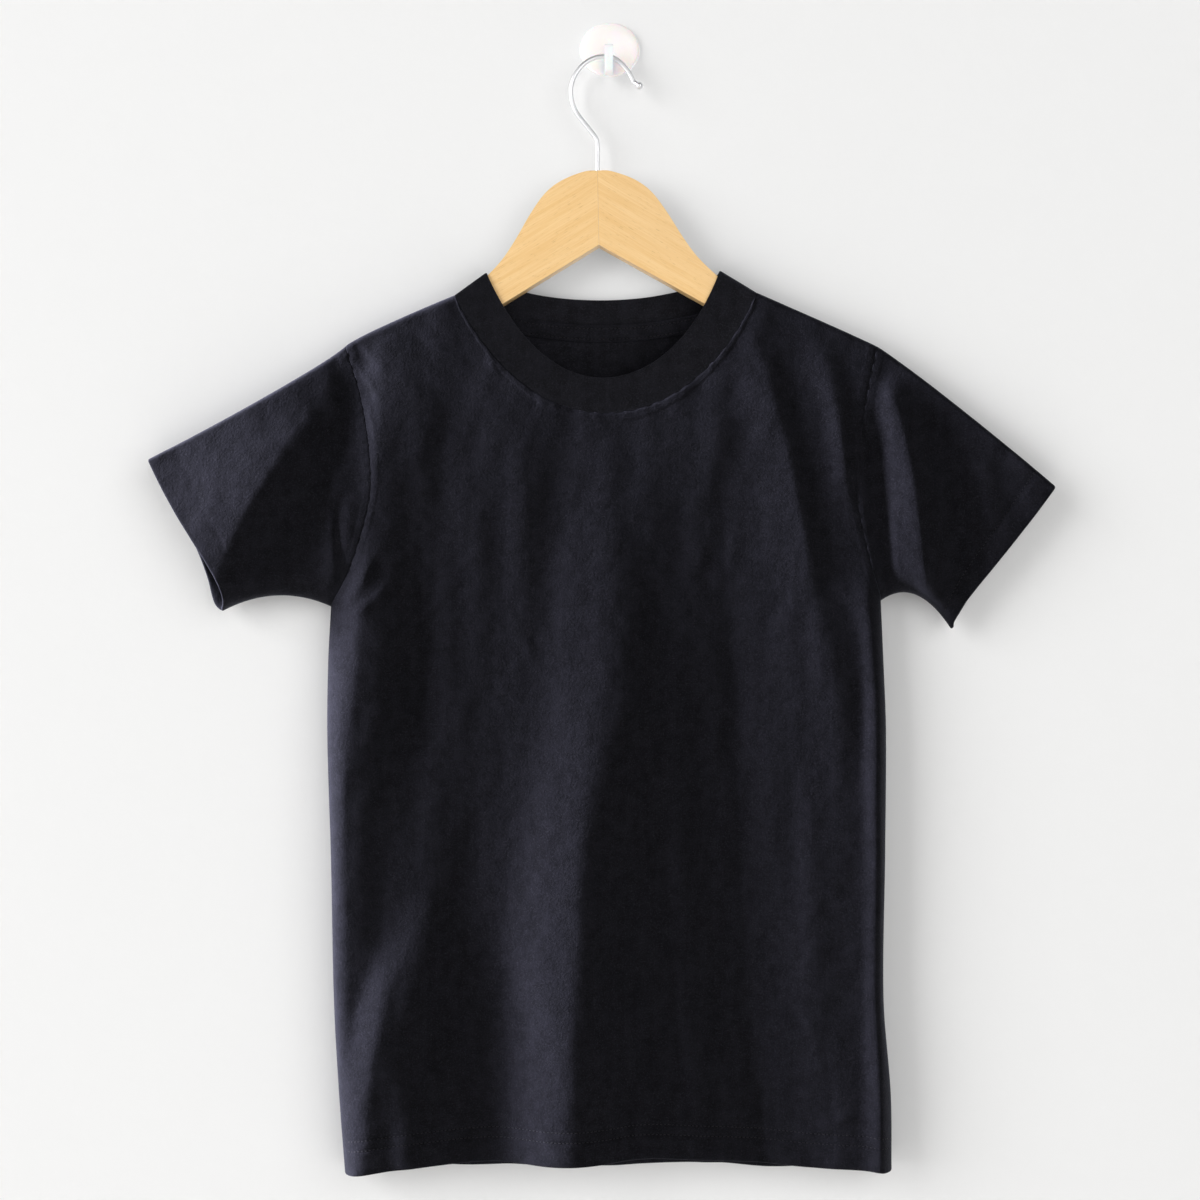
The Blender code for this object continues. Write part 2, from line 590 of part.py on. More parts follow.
def make_hanger(material, collection, cutters):
    """One flat blank with eased edges, sawn at the mitre and bored for the shank."""
    upper = smooth_points(HANGER_UPPER, 3) + [Vector(HANGER_UPPER[-1])]
    lower = [Vector(row) for row in HANGER_LOWER]
    half = [Vector((point.x, -point.y)) * MM for point in upper + smooth_points(lower, 2)]
    notch = Vector((0.0, -HANGER_LOWER[-1].down * MM))
    mirrored = [Vector((-point.x, point.y)) for point in reversed(half[1:])]
    blank = flat_piece("hanger_blank", half + [notch] + mirrored, HANGER_THICKNESS, cutters)
    weld = blank.modifiers.new("weld", "WELD")
    weld.merge_threshold = 0.00005
    ease = blank.modifiers.new("ease", "BEVEL")
    ease.width = HANGER_EDGE
    ease.segments = 2
    ease.limit_method = "ANGLE"
    ease.angle_limit = radians(60)
    place = Matrix.Translation((HANGER_TOP.x, -HANG_DEPTH, HANGER_TOP.y))
    place = place @ Matrix.Rotation(-HANGER_TILT, 4, "Y") @ Matrix.Rotation(pi / 2, 4, "X")
    whole = as_mesh(blank)
    bpy.data.objects.remove(blank)

    bpy.ops.mesh.primitive_cylinder_add(vertices=12, radius=BORE_RADIUS, depth=4 * SHANK_DEPTH)
    bore = bpy.context.object
    bore.name = "shank_bore"
    bore.location = (HANGER_TOP.x, -HANG_DEPTH, HANGER_TOP.y + SHANK_DEPTH - CLEARANCE)
    for owner in list(bore.users_collection):
        owner.objects.unlink(bore)
    cutters.objects.link(bore)
    bore.hide_render = True
    bore.display_type = "WIRE"

    for hand in (LEFT, RIGHT):
        build = bmesh.new()
        build.from_mesh(whole)
        everything = build.verts[:] + build.edges[:] + build.faces[:]
        cut = bmesh.ops.bisect_plane(
            build, geom=everything, dist=0.000001,
            plane_co=(hand * MITRE_CUT / 2, 0.0, 0.0), plane_no=(-hand, 0.0, 0.0), clear_outer=True)
        edges = [part for part in cut["geom_cut"] if isinstance(part, bmesh.types.BMEdge)]
        bmesh.ops.contextual_create(build, geom=edges)
        build.transform(place)
        bmesh.ops.recalc_face_normals(build, faces=build.faces)
        mesh = bpy.data.meshes.new("hanger_arm_" + side_name(hand))
        build.to_mesh(mesh)
        build.free()
        arm = add_object(mesh.name, mesh, material, collection)
        drill = arm.modifiers.new("bore", "BOOLEAN")
        drill.object = bore
        drill.operation = "DIFFERENCE"


def make_hook_wire(name, material, collection):
    """Bent wire on one polyline: shank, crank and bow, with a ball worked on its free end."""
    shank_foot = HANGER_TOP.y - SHANK_DEPTH + 2 * CLEARANCE
    bow = smooth_points(BOW_POINTS, BOW_STEPS) + [Vector(BOW_POINTS[-1])]
    path = [Vector((HANGER_TOP.x, shank_foot)), *CRANK_POINTS] + [point * MM for point in bow]
    radii = [1.0] * len(path)
    toward = (BALL_CENTRE - path[-1]).normalized()
    for share in BALL_STEPS:
        path.append(BALL_CENTRE + toward * BALL_RADIUS * share)
        radii.append(BALL_RADIUS / WIRE_RADIUS * sqrt(1.0 - share * share))
    curve = bpy.data.curves.new(name, "CURVE")
    curve.dimensions = "3D"
    curve.bevel_depth = WIRE_RADIUS
    curve.bevel_resolution = 2
    curve.use_fill_caps = True
    spline = curve.splines.new("POLY")
    spline.points.add(len(path) - 1)
    for point, place, radius in zip(spline.points, path, radii):
        point.co = (place.x, -HANG_DEPTH, place.y, 1.0)
        point.radius = radius
    return add_object(name, curve, material, collection)


# ---------------------------------------------------------------- wall hook
def make_wall_hook(name, material, collection, cutters):
    """Oval plate with a flat back, joined to a peg that turns up in front of the wire."""
    profile = bmesh.new()
    points = [Vector((PLATE_HALF_HEIGHT, 0.0, 0.0)), Vector((PLATE_HALF_HEIGHT, 0.0, PLATE_RIM))]
    for step in range(1, DOME_STEPS + 1):
        angle = pi / 2 * step / DOME_STEPS
        lift = PLATE_RIM + (PLATE_DOME - PLATE_RIM) * sin(angle)
        points.append(Vector((PLATE_HALF_HEIGHT * cos(angle), 0.0, lift)))
    points[-1].x = 0.0
    points.insert(0, Vector((0.0, 0.0, 0.0)))
    verts = [profile.verts.new(point) for point in points]
    for first, second in zip(verts, verts[1:]):
        profile.edges.new((first, second))
    bmesh.ops.spin(profile, geom=profile.verts[:] + profile.edges[:], axis=(0, 0, 1), cent=(0, 0, 0),
                   angle=2 * pi, steps=PLATE_STEPS, use_merge=True)
    bmesh.ops.remove_doubles(profile, verts=profile.verts, dist=0.00001)
    oval = Matrix.Scale(PLATE_HALF_WIDTH / PLATE_HALF_HEIGHT, 4, (1, 0, 0))
    place = Matrix.Translation((PLATE_MIDDLE.x, 0.0, PLATE_MIDDLE.y))
    profile.transform(place @ Matrix.Rotation(pi / 2, 4, "X") @ oval)
    bmesh.ops.recalc_face_normals(profile, faces=profile.faces)
    mesh = bpy.data.meshes.new(name)
    profile.to_mesh(mesh)
    profile.free()
    plate = add_object(name, mesh, material, collection)

    outline = [Vector(point) * MM for point in PEG_BELOW]
    for step in range(SEAT_STEPS + 1):
        angle = pi * step / SEAT_STEPS
        wire = Vector((HANG_DEPTH, BOW_TOP - SEAT_DROP))
        outline.append(wire + SEAT_RADIUS * Vector((cos(angle), -sin(angle))))
    outline += [Vector(point) * MM for point in PEG_BEHIND]
    blank = flat_piece("peg_blank", [(-point.x, point.y) for point in outline], PEG_WIDTH, cutters)
    peg_mesh = as_mesh(blank)
    bpy.data.objects.remove(blank)
    side_on = Matrix.Rotation(pi / 2, 4, "Z") @ Matrix.Rotation(pi / 2, 4, "X")
    peg_mesh.transform(Matrix.Translation((PEG_MIDDLE, 0.0, 0.0)) @ side_on)
    build = bmesh.new()
    build.from_mesh(peg_mesh)
    bmesh.ops.recalc_face_normals(build, faces=build.faces)
    build.to_mesh(peg_mesh)
    build.free()
    peg = bpy.data.objects.new("peg", peg_mesh)
    cutters.objects.link(peg)
    peg.hide_render = True
    peg.display_type = "WIRE"
    join = plate.modifiers.new("peg", "BOOLEAN")
    join.object = peg
    join.operation = "UNION"


def main():
    clear_scene()
    collection = new_collection("crew_neck_t_shirt")
    cutters = new_collection("cutters")
    jersey = new_material("black_jersey", (0.010, 0.010, 0.013), 0.9)
    rib = new_material("black_rib", (0.011, 0.011, 0.014), 0.9)
    wood = new_material("pale_wood", (0.78, 0.52, 0.25), 0.45)
    steel = new_material("bright_wire", (0.75, 0.76, 0.78), 0.2, 1.0)
    plastic = new_material("white_plastic", (0.9, 0.9, 0.9), 0.25)

    make_panel("front_panel", FRONT, jersey, collection)
    make_panel("back_panel", BACK, jersey, collection)
    make_sleeve("left_sleeve", LEFT, jersey, collection)
    make_sleeve("right_sleeve", RIGHT, jersey, collection)
    make_neckband("neckband", rib, collection)
    make_neck_tape("neck_tape", jersey, collection)
    make_hanger(wood, collection, cutters)
    make_hook_wire("hook_wire", steel, collection)
    make_wall_hook("wall_hook", plastic, collection, cutters)


main()
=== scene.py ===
from collections import namedtuple
from contextlib import contextmanager
from math import asin, cos, pi, radians, sin, tan

import bmesh
import bpy
import numpy as np
from mathutils import Matrix, Vector
from mathutils.bvhtree import BVHTree


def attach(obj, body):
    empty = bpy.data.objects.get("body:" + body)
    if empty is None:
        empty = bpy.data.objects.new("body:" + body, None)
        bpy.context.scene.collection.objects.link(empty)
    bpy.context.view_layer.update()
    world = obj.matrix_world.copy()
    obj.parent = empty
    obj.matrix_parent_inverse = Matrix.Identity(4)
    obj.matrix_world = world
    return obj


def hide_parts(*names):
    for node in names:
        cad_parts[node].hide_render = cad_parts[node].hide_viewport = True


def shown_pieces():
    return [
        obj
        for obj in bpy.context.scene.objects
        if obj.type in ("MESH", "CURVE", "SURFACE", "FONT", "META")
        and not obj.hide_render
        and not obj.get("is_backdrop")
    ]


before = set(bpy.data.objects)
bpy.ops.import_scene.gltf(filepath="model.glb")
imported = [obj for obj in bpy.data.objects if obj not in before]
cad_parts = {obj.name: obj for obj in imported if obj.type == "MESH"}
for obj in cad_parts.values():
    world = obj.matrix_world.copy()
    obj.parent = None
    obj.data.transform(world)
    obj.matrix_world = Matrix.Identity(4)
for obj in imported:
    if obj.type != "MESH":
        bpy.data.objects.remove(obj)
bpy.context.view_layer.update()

# ------------------------------------------------------------------------------ front and back
# Two panels of washed cotton single jersey, joined at the shoulders and down the side seams and
# turned up by 20 mm at the hem.  They hang over the hanger's arms and fall in long soft folds.

# A point as seen from the front is a complex number, across + up j, in metres.  The tables are in
# millimetres: down and across are measured from the wall hook, and a share runs from 0 to 1.
MM = 0.001
FRONT, BACK = -1, 1
LEFT, RIGHT = -1, 1
JERSEY_WALL = 0.8 * MM
SEAM_GAP = 0.1 * MM
SEAM_TURN = 1.3 * MM                    # how far a cut edge is turned in along its seam
HEM_DOUBLE = 1.9 * MM                   # thickness of a hem, from face to face
HEM_INSIDE = 17.5 * MM                  # how far its turned-up layer reaches up the inside
HEM_ROWS = (14, 20)                     # its rows of stitches, in millimetres above the edge
HANG_DEPTH = 12 * MM                    # from the wall to the middle of the hanger
PANEL_WIDTH, PANEL_HEIGHT = 0.332, 0.520        # of the cloth, for its knit
NECK_RUN, SIDE_RUN = 0.34, 0.50                 # of the sewn edges, for their puckers

# The panels' corners, and how far their edges leave the straight lines between them: the hem rises
# in its middle and waves, the shoulders crown, the sides bow out and the armholes are cut in.
HEM_CORNERS = {LEFT: -0.1595 - 0.6792j, RIGHT: 0.1720 - 0.6772j}
ARMPITS = {LEFT: -0.1685 - 0.3370j, RIGHT: 0.1660 - 0.3335j}
SHOULDER_TIPS = {LEFT: -0.1594 - 0.1786j, RIGHT: 0.1632 - 0.1786j}
HEM_RISE = {FRONT: 0.0086, BACK: 0.0002}
HemLevel = namedtuple("HemLevel", "share lift")
HEM_LEVELS = (
    HemLevel(0.00, 0.0), HemLevel(0.10, 1.6), HemLevel(0.20, 1.6), HemLevel(0.28, 1.0),
    HemLevel(0.36, -0.6), HemLevel(0.47, -0.8), HemLevel(0.56, 1.3), HemLevel(0.70, 0.2),
    HemLevel(0.84, -1.2), HemLevel(0.94, 0.0), HemLevel(1.00, 0.0),
)
SHOULDER_CROWN = {LEFT: 0.0017, RIGHT: 0.0004}
SideLevel = namedtuple("SideLevel", "share left right")
SIDE_LEVELS = (
    SideLevel(0.00, 0.0, 0.0), SideLevel(0.13, 2.4, 0.4), SideLevel(0.30, 4.2, -3.0),
    SideLevel(0.55, 3.8, -0.4), SideLevel(0.77, 4.2, 1.6), SideLevel(0.90, 2.6, 0.8),
    SideLevel(1.00, 0.0, 0.0),
)
ARMHOLE_LEVELS = (
    SideLevel(0.00, 0.0, 0.0), SideLevel(0.14, 11.0, 6.5), SideLevel(0.40, 21.0, 14.2),
    SideLevel(0.57, 19.8, 12.6), SideLevel(0.80, 11.6, 7.0), SideLevel(1.00, 0.0, 0.0),
)
SHOULDER_SHARE = 0.20                   # of a panel's top edge, at each end
ARMPIT_SHARE = 0.69                     # of a panel's side, below the armhole
ARMHOLE_HEIGHT = SHOULDER_TIPS[LEFT].imag - ARMPITS[LEFT].imag

# How far the side seams, the front and the back hang from the wall.  The cloth turns over the
# hanger, at its sides (in shares of its width) and at the underarm; a squareness of 2 makes a round
# turn and a greater one a tighter turn.
DepthLevel = namedtuple("DepthLevel", "down seam front back")
DEPTH_LEVELS = (
    DepthLevel(130, 12.0, 20.6, 3.4), DepthLevel(185, 12.0, 20.9, 3.3),
    DepthLevel(220, 12.4, 22.8, 2.9), DepthLevel(300, 13.4, 25.2, 2.4),
    DepthLevel(420, 14.6, 27.4, 2.2), DepthLevel(560, 15.6, 29.2, 2.2),
    DepthLevel(690, 16.6, 31.2, 2.6),
)
RIDGE_ROUND, RIDGE_SQUARENESS = 0.0055, 3.4
SIDE_ROUND, SIDE_SQUARENESS = 0.036, 2.5
UNDERARM_ROUND = 0.030

# The neck is a tilted ring of two part ovals, at the seam and at the neckband's folded edge.
NeckEdge = namedtuple("NeckEdge", "middle half_width end_down front_drop back_drop")
NECK_SEAM = NeckEdge(-1.5, 91.8, 146.7, 73.0, 23.0)
NECK_FOLD = NeckEdge(-3.0, 71.8, 133.5, 65.6, 16.5)
NECK_TILT = tan(radians(0.5))

# Each fold runs down through its stations of (down, across, lift).  Left and right are how far its
# flanks reach, crisp is how sharp its crest is, and a lift below 0 makes it a trough.
Fold = namedtuple("Fold", "left right crisp stations")
Station = namedtuple("Station", "down across lift")
FRONT_FOLDS = (
    Fold(46, 42, 0.05, (      # the main ridge, from the chest to the hem
        (225, 0, 0.0), (262, 2, 0.8), (300, 3, 2.1), (369, 0, 4.6),
        (442, -8, 6.8), (515, -17, 8.8), (588, -21, 10.0), (720, -22, 11.8))),
    Fold(36, 40, 0.0, (       # hollow at its left
        (350, -66, 0.0), (440, -73, -1.6), (515, -76, -3.0), (600, -74, -4.2), (720, -70, -4.8))),
    Fold(14, 22, 0.0, (       # small crest at its right
        (350, 30, 0.0), (430, 38, 1.0), (540, 46, 1.2), (640, 56, 0.8), (720, 60, 0.8))),
    Fold(58, 62, 0.6, (       # the long hollow at the right
        (236, 66, 0.0), (297, 70, -2.2), (369, 76, -3.4), (442, 78, -4.0),
        (515, 81, -4.4), (588, 86, -4.8), (650, 93, -5.8), (720, 100, -7.4))),
    Fold(18, 44, 0.1, (       # ridge from the left shoulder down beside the armhole and side seam
        (168, -131, 0.0), (190, -134, 2.8), (240, -138, 4.4),
        (297, -144, 5.0), (369, -150, 5.2), (442, -157, 4.0), (503, -160, 2.4), (570, -162, 0.0))),
    Fold(20, 38, 0.15, (      # slanting ridge above the hem at the left
        (510, -111, 0.0), (535, -119, 1.6), (560, -128, 4.2),
        (590, -136, 5.8), (620, -142, 5.6), (655, -145, 5.2), (705, -147, 5.0))),
    Fold(15, 26, 0.1, (       # and a lower one beside it, down to the hem
        (606, -124, 0.0), (635, -121, 1.8), (665, -119, 3.6), (720, -118, 4.2))),
    Fold(12, 9, 0.2, (        # ridge inside the right side seam
        (310, 154, 0.0), (369, 162, 3.2), (480, 164, 4.6), (620, 164, 4.6), (720, 166, 3.0))),
    Fold(20, 16, 0.3, (       # soft crest before it
        (330, 130, 0.0), (380, 136, 1.5), (430, 138, 0.8), (500, 140, 0.0))),
    Fold(28, 15, 0.5, (       # drag line from the right end of the neck
        (158, 84, 0.0), (190, 94, 1.2), (224, 104, 2.4), (297, 119, 2.6),
        (345, 125, 1.2), (400, 130, 0.0))),
    Fold(13, 15, 0.4, (       # and a shorter one beside it
        (176, 128, 0.0), (212, 137, 1.9), (250, 143, 2.2), (305, 147, 0.0))),
    # faint crests below the neck, and the broad swell of the left chest
    Fold(15, 20, 0.0, ((222, -52, 0.0), (270, -49, 0.6), (360, -55, 0.0))),
    Fold(13, 17, 0.0, ((214, 62, 0.0), (255, 64, 0.7), (330, 70, 0.0))),
    Fold(60, 92, 0.0, ((180, -90, 0.0), (215, -92, 2.2), (290, -93, 1.8), (365, -95, 0.0))),
    # faint long drops
    Fold(9, 12, 0.0, ((360, -52, 0.0), (420, -56, 0.5), (520, -54, 0.0))),
    Fold(9, 11, 0.0, ((420, 116, 0.0), (520, 122, 0.6), (640, 120, 0.0))),
    Fold(8, 10, 0.0, ((560, 18, 0.0), (620, 20, 0.3), (720, 16, 0.3))),
    # puckers in from the left armhole, then down from the neck seam
    Fold(4, 5, 0.6, ((178, -151, 0.0), (186, -142, 0.8), (197, -132, 0.0))),
    Fold(4, 5, 0.6, ((192, -153, 0.0), (202, -144, 0.9), (214, -137, 0.0))),
    Fold(4, 5, 0.6, ((208, -150, 0.0), (222, -144, 0.7), (240, -140, 0.0))),
    Fold(3, 4, 0.6, ((183, -74, 0.0), (188, -71, 0.5), (197, -68, 0.0))),
    Fold(3, 4, 0.5, ((205, -38, 0.0), (213, -40, 0.4), (226, -42, 0.0))),
    Fold(3, 4, 0.5, ((213, 22, 0.0), (222, 24, 0.4), (236, 25, 0.0))),
    # small creases left by washing
    Fold(6, 8, 0.2, ((505, -2, 0.0), (530, 10, 0.4), (560, 26, 0.0))),
    Fold(7, 6, 0.3, ((560, 14, 0.0), (585, 4, 0.5), (612, -4, 0.0))),
    Fold(6, 7, 0.2, ((600, 60, 0.0), (625, 72, 0.45), (655, 80, 0.0))),
    Fold(6, 6, 0.3, ((470, 60, 0.0), (490, 68, 0.4), (520, 72, 0.0))),
    Fold(5, 6, 0.3, ((345, -60, 0.0), (362, -48, 0.35), (384, -40, 0.0))),
    Fold(5, 6, 0.3, ((395, 20, 0.0), (412, 30, 0.45), (440, 34, 0.0))),
    Fold(6, 8, 0.2, ((630, -60, 0.0), (645, -44, 0.4), (662, -30, 0.0))),
    Fold(5, 7, 0.3, ((636, 163, 0.0), (650, 130, 0.6), (666, 98, 0.0))),
    Fold(6, 6, 0.3, ((560, 110, 0.0), (590, 122, 0.5), (620, 128, 0.0))),
    # creases up to the armpits
    Fold(6, 5, 0.4, ((300, -139, 0.0), (318, -146, 0.9), (338, -158, 0.0))),
    Fold(5, 6, 0.4, ((318, -128, 0.0), (334, -142, 0.7), (346, -160, 0.0))),
    Fold(5, 6, 0.4, ((322, 134, 0.0), (332, 146, 0.7), (340, 160, 0.0))),
    # short tucks in the side seams
    Fold(1.6, 1.6, 0.6, ((416.5, -171, 0.0), (417, -166, -0.6), (419, -158, 0.0))),
    Fold(1.6, 1.6, 0.6, ((420, 158, 0.0), (420.6, 164, -0.6), (421.5, 170, 0.0))),
)
BACK_FOLDS = (
    # the three long hollows between the back's drops
    Fold(40, 32, 0.2, ((290, -98, 0.0), (420, -94, -2.6), (560, -88, -5.0), (720, -82, -6.5))),
    Fold(34, 44, 0.0, ((370, 8, 0.0), (500, 12, -3.0), (720, 20, -5.0))),
    Fold(32, 38, 0.2, ((250, 106, 0.0), (400, 104, -3.4), (560, 100, -5.2), (720, 96, -6.0))),
    # drag lines from the shoulders, faint long hollows and puckers at the armholes
    Fold(12, 18, 0.3, ((175, -118, 0.0), (230, -128, -1.6), (330, -140, 0.0))),
    Fold(18, 12, 0.3, ((180, 116, 0.0), (240, 130, -1.6), (330, 141, 0.0))),
    Fold(12, 14, 0.0, ((200, -40, 0.0), (280, -44, -1.1), (400, -38, 0.0))),
    Fold(12, 14, 0.0, ((210, 46, 0.0), (300, 50, -1.1), (420, 44, 0.0))),
    Fold(10, 12, 0.0, ((440, -40, 0.0), (560, -36, -1.2), (700, -40, 0.0))),
    Fold(10, 12, 0.0, ((430, 60, 0.0), (560, 58, -1.2), (720, 62, -0.8))),
    Fold(4, 5, 0.6, ((185, 150, 0.0), (196, 142, -0.8), (210, 134, 0.0))),
    Fold(4, 5, 0.6, ((188, -150, 0.0), (200, -143, -0.8), (214, -136, 0.0))),
)
FOLDS = {FRONT: FRONT_FOLDS, BACK: BACK_FOLDS}
FOLD_STEPS = 36                         # points along a fold's crest


def mix(first, second, share):
    """Value between two, at a share of the way from the first."""
    return first * (1 - share) + second * share


def smooth_step(value):
    value = np.clip(value, 0.0, 1.0)
    return value * value * (3 - 2 * value)


def read_rows(rows, column, place):
    """Values of one column at places in the first, on a smooth curve through the rows."""
    knots = np.array([row[0] for row in rows], float)
    values = np.array([getattr(row, column) for row in rows], float)
    order = np.arange(len(rows))
    before, after = np.maximum(order - 1, 0), np.minimum(order + 1, len(rows) - 1)
    slopes = (values[after] - values[before]) / (knots[after] - knots[before])
    index = np.clip(np.searchsorted(knots, place, "right") - 1, 0, len(rows) - 2)
    span = knots[index + 1] - knots[index]
    u = np.clip((place - knots[index]) / span, 0.0, 1.0)
    bend = slopes[index] * span * u * (1 - u) ** 2 - slopes[index + 1] * span * u * u * (1 - u)
    return mix(values[index], values[index + 1], smooth_step(u)) + bend


def bowed(start, end, share, bow, lean=1.0):
    """Point on a line that bows out in its middle, or nearer its start where lean is under 1."""
    u = share ** lean
    return mix(start, end, share) + bow * 4 * u * (1 - u)


def round_off(share, squareness):
    """Height of a squared quarter turn, 0 at its start and 1 where it has turned."""
    return (1 - (1 - np.clip(share, 0.0, 1.0)) ** squareness) ** (1 / squareness)


def neck_edge(band_share, angle):
    """Ring round the neck: 0 is the left shoulder, pi/2 the front, pi the right shoulder."""
    edge = NeckEdge(*(mix(a, b, band_share) for a, b in zip(NECK_SEAM, NECK_FOLD)))
    front = np.sin(angle) > 0
    left = np.cos(angle) > 0
    start = np.where(front, np.where(left, radians(40), radians(30)), radians(20))
    swept = mix(start, pi / 2, np.arcsin(np.minimum(np.abs(np.sin(angle)), 1.0)) / (pi / 2))
    x = edge.middle + np.where(left, LEFT, RIGHT) * edge.half_width * np.cos(swept) / np.cos(start)
    drop = np.where(front, edge.front_drop, edge.back_drop)
    down = edge.end_down + drop * (np.sin(swept) - np.sin(start)) / (1 - np.sin(start))
    return (x + 1j * (x * NECK_TILT - down)) * MM


def neck_end(band_share, hand):
    return neck_edge(band_share, 0.0 if hand == LEFT else pi)


def shoulder_edge(hand, share):
    return bowed(SHOULDER_TIPS[hand], neck_end(0.0, hand), share, 1j * SHOULDER_CROWN[hand], 0.6)


def hem_edge(face, share):
    wave = read_rows(HEM_LEVELS, "lift", share) * MM
    return bowed(HEM_CORNERS[LEFT], HEM_CORNERS[RIGHT], share, 1j * HEM_RISE[face]) + 1j * wave


def top_edge(face, share):
    """A panel's whole top: a shoulder seam, the neck seam and the other shoulder seam."""
    left = shoulder_edge(LEFT, np.clip(share / SHOULDER_SHARE, 0, 1))
    right = shoulder_edge(RIGHT, np.clip((1 - share) / SHOULDER_SHARE, 0, 1))
    turn = pi * np.clip((share - SHOULDER_SHARE) / (1 - 2 * SHOULDER_SHARE), 0, 1)
    neck = neck_edge(0.0, turn if face == FRONT else 2 * pi - turn)
    return np.where(share < SHOULDER_SHARE, left, np.where(share > 1 - SHOULDER_SHARE, right, neck))


def side_name(hand):
    return "left" if hand == LEFT else "right"


def armhole_edge(hand, share):
    inset = read_rows(ARMHOLE_LEVELS, side_name(hand), share) * MM
    return mix(ARMPITS[hand], SHOULDER_TIPS[hand], share) - hand * inset


def side_edge(hand, share):
    """A panel's whole side: the side seam up to the armpit, then the armhole."""
    climb = np.clip(share / ARMPIT_SHARE, 0, 1)
    out = read_rows(SIDE_LEVELS, side_name(hand), climb) * MM
    seam = mix(HEM_CORNERS[hand], ARMPITS[hand], climb) + hand * out
    armhole = armhole_edge(hand, np.clip((share - ARMPIT_SHARE) / (1 - ARMPIT_SHARE), 0, 1))
    return np.where(share > ARMPIT_SHARE, armhole, seam)


def fill_patch(across, up, foot, top, left, right):
    """Coons patch between four edges, each a function of its own share."""
    between_ends = mix(foot(across), top(across), up)
    between_sides = mix(left(up), right(up), across)
    start, end = np.zeros_like(up), np.ones_like(up)
    corners = mix(mix(left(start), right(start), across), mix(left(end), right(end), across), up)
    return between_ends + between_sides - corners


def fold_lift(folds, point):
    """How far the folds raise the cloth at front-view points."""
    at = (point.real - 1j * point.imag) / MM
    total = np.zeros(at.shape)
    for fold in folds:
        stations = [Station(*station) for station in fold.stations]
        down = np.linspace(stations[0].down, stations[-1].down, FOLD_STEPS)
        line = read_rows(stations, "across", down) + 1j * down
        lift = read_rows(stations, "lift", down)
        reach = max(fold.left, fold.right)
        near = (at.real > line.real.min() - reach) & (at.real < line.real.max() + reach)
        near &= (at.imag > line.imag.min() - reach) & (at.imag < line.imag.max() + reach)
        # the nearest place on the crest to each point, and on which side of it the point is
        run = np.diff(line)
        gap = at[near][:, None] - line[:-1]
        share = np.clip((gap * run.conj()).real / np.abs(run) ** 2, 0, 1)
        away = gap - share * run
        closest = np.argmin(np.abs(away), axis=1)
        pick = np.arange(len(closest)), closest
        on_left = (run.conj() * away)[pick].imag > 0
        aside = np.minimum(np.abs(away[pick]) / np.where(on_left, fold.left, fold.right), 1)
        flank = mix(np.cos(pi / 2 * aside) ** 2, (1 - aside) ** 2, fold.crisp)
        total[near] += flank * mix(lift[closest], lift[closest + 1], share[pick])
    return total * MM


# Faint waviness of washed jersey, in millimetres: long waves down the cloth, each (across, down,
# height), which swing from side to side, and short rumples that cross each other in patches.
STREAKS = ((19, 210, 0.04), (27, -330, 0.06), (34, 260, 0.08), (47, -420, 0.11), (61, 300, 0.12),
           (23, -170, 0.04), (90, 140, 0.12))
SWING, SWING_LENGTH = 0.6, 83
RUMPLES, RUMPLE = 9, 0.13 * MM
RUMPLE_LEAN = 38                        # degrees, to either side
SHORT_RUMPLE, RUMPLE_SPREAD = 15, 26    # their lengths
PATCH_ASIDE, PATCH_ALONG, RUMPLE_SWING = 31, 47, 23


def streak_lift(point, start):
    """Lift of the long waves; another start gives other waves."""
    x, down = point.real / MM, -point.imag / MM
    total = np.zeros(point.shape)
    for number, (across, along, height) in enumerate(STREAKS):
        swing = SWING * np.sin(down / SWING_LENGTH + number * 1.7 + start)
        total += height * np.sin(2 * pi * (x / across + down / along) + swing + number * 2.4 + start)
    return total * MM


def rumple_lift(point, start):
    """Lift of the short waves, each of which comes and goes in soft patches."""
    x, down = point.real / MM, -point.imag / MM
    total = np.zeros(point.shape)
    for number in range(RUMPLES):
        lean = radians(-RUMPLE_LEAN + 2 * RUMPLE_LEAN * (number * 0.618 % 1))
        length = SHORT_RUMPLE + RUMPLE_SPREAD * (number * 0.381 % 1)
        along = x * cos(lean) + down * sin(lean)
        aside = down * cos(lean) - x * sin(lean)
        phase = number * 2.4 + start
        patch = 0.5 + 0.5 * np.sin(aside / PATCH_ASIDE + phase * 1.9) * np.sin(along / PATCH_ALONG + phase)
        wave = np.sin(2 * pi * along / length + np.sin(aside / RUMPLE_SWING + phase) + phase)
        total += length / RUMPLE_SPREAD * patch ** 2 * wave
    return total * RUMPLE


def face_depth(face, point):
    """Y of a panel's hanging face, with its folds."""
    wall_distance = read_rows(DEPTH_LEVELS, "front" if face == FRONT else "back", -point.imag / MM)
    lift = fold_lift(FOLDS[face], point) + streak_lift(point, face * 1.3)
    lift = lift + rumple_lift(point, face * 0.7)
    return -wall_distance * MM + face * lift


def ridge_drop(point):
    """How far points lie below the line on which the cloth hangs over the hanger."""
    ridges = []
    for hand in (LEFT, RIGHT):
        tip, seam, fold = SHOULDER_TIPS[hand], neck_end(0.0, hand), neck_end(1.0, hand)
        share = (point.real - tip.real) / (seam.real - tip.real)
        on_neck = seam.imag + (fold.imag - seam.imag) * (point.real - seam.real) / (fold.real - seam.real)
        shoulder = shoulder_edge(hand, np.clip(share, 0, 1)).imag
        ridges.append(np.where(share <= 1, shoulder, on_neck))
    ridge = np.where(point.real < NECK_SEAM.middle * MM, ridges[0], ridges[1])
    return np.maximum(ridge - point.imag, 0)


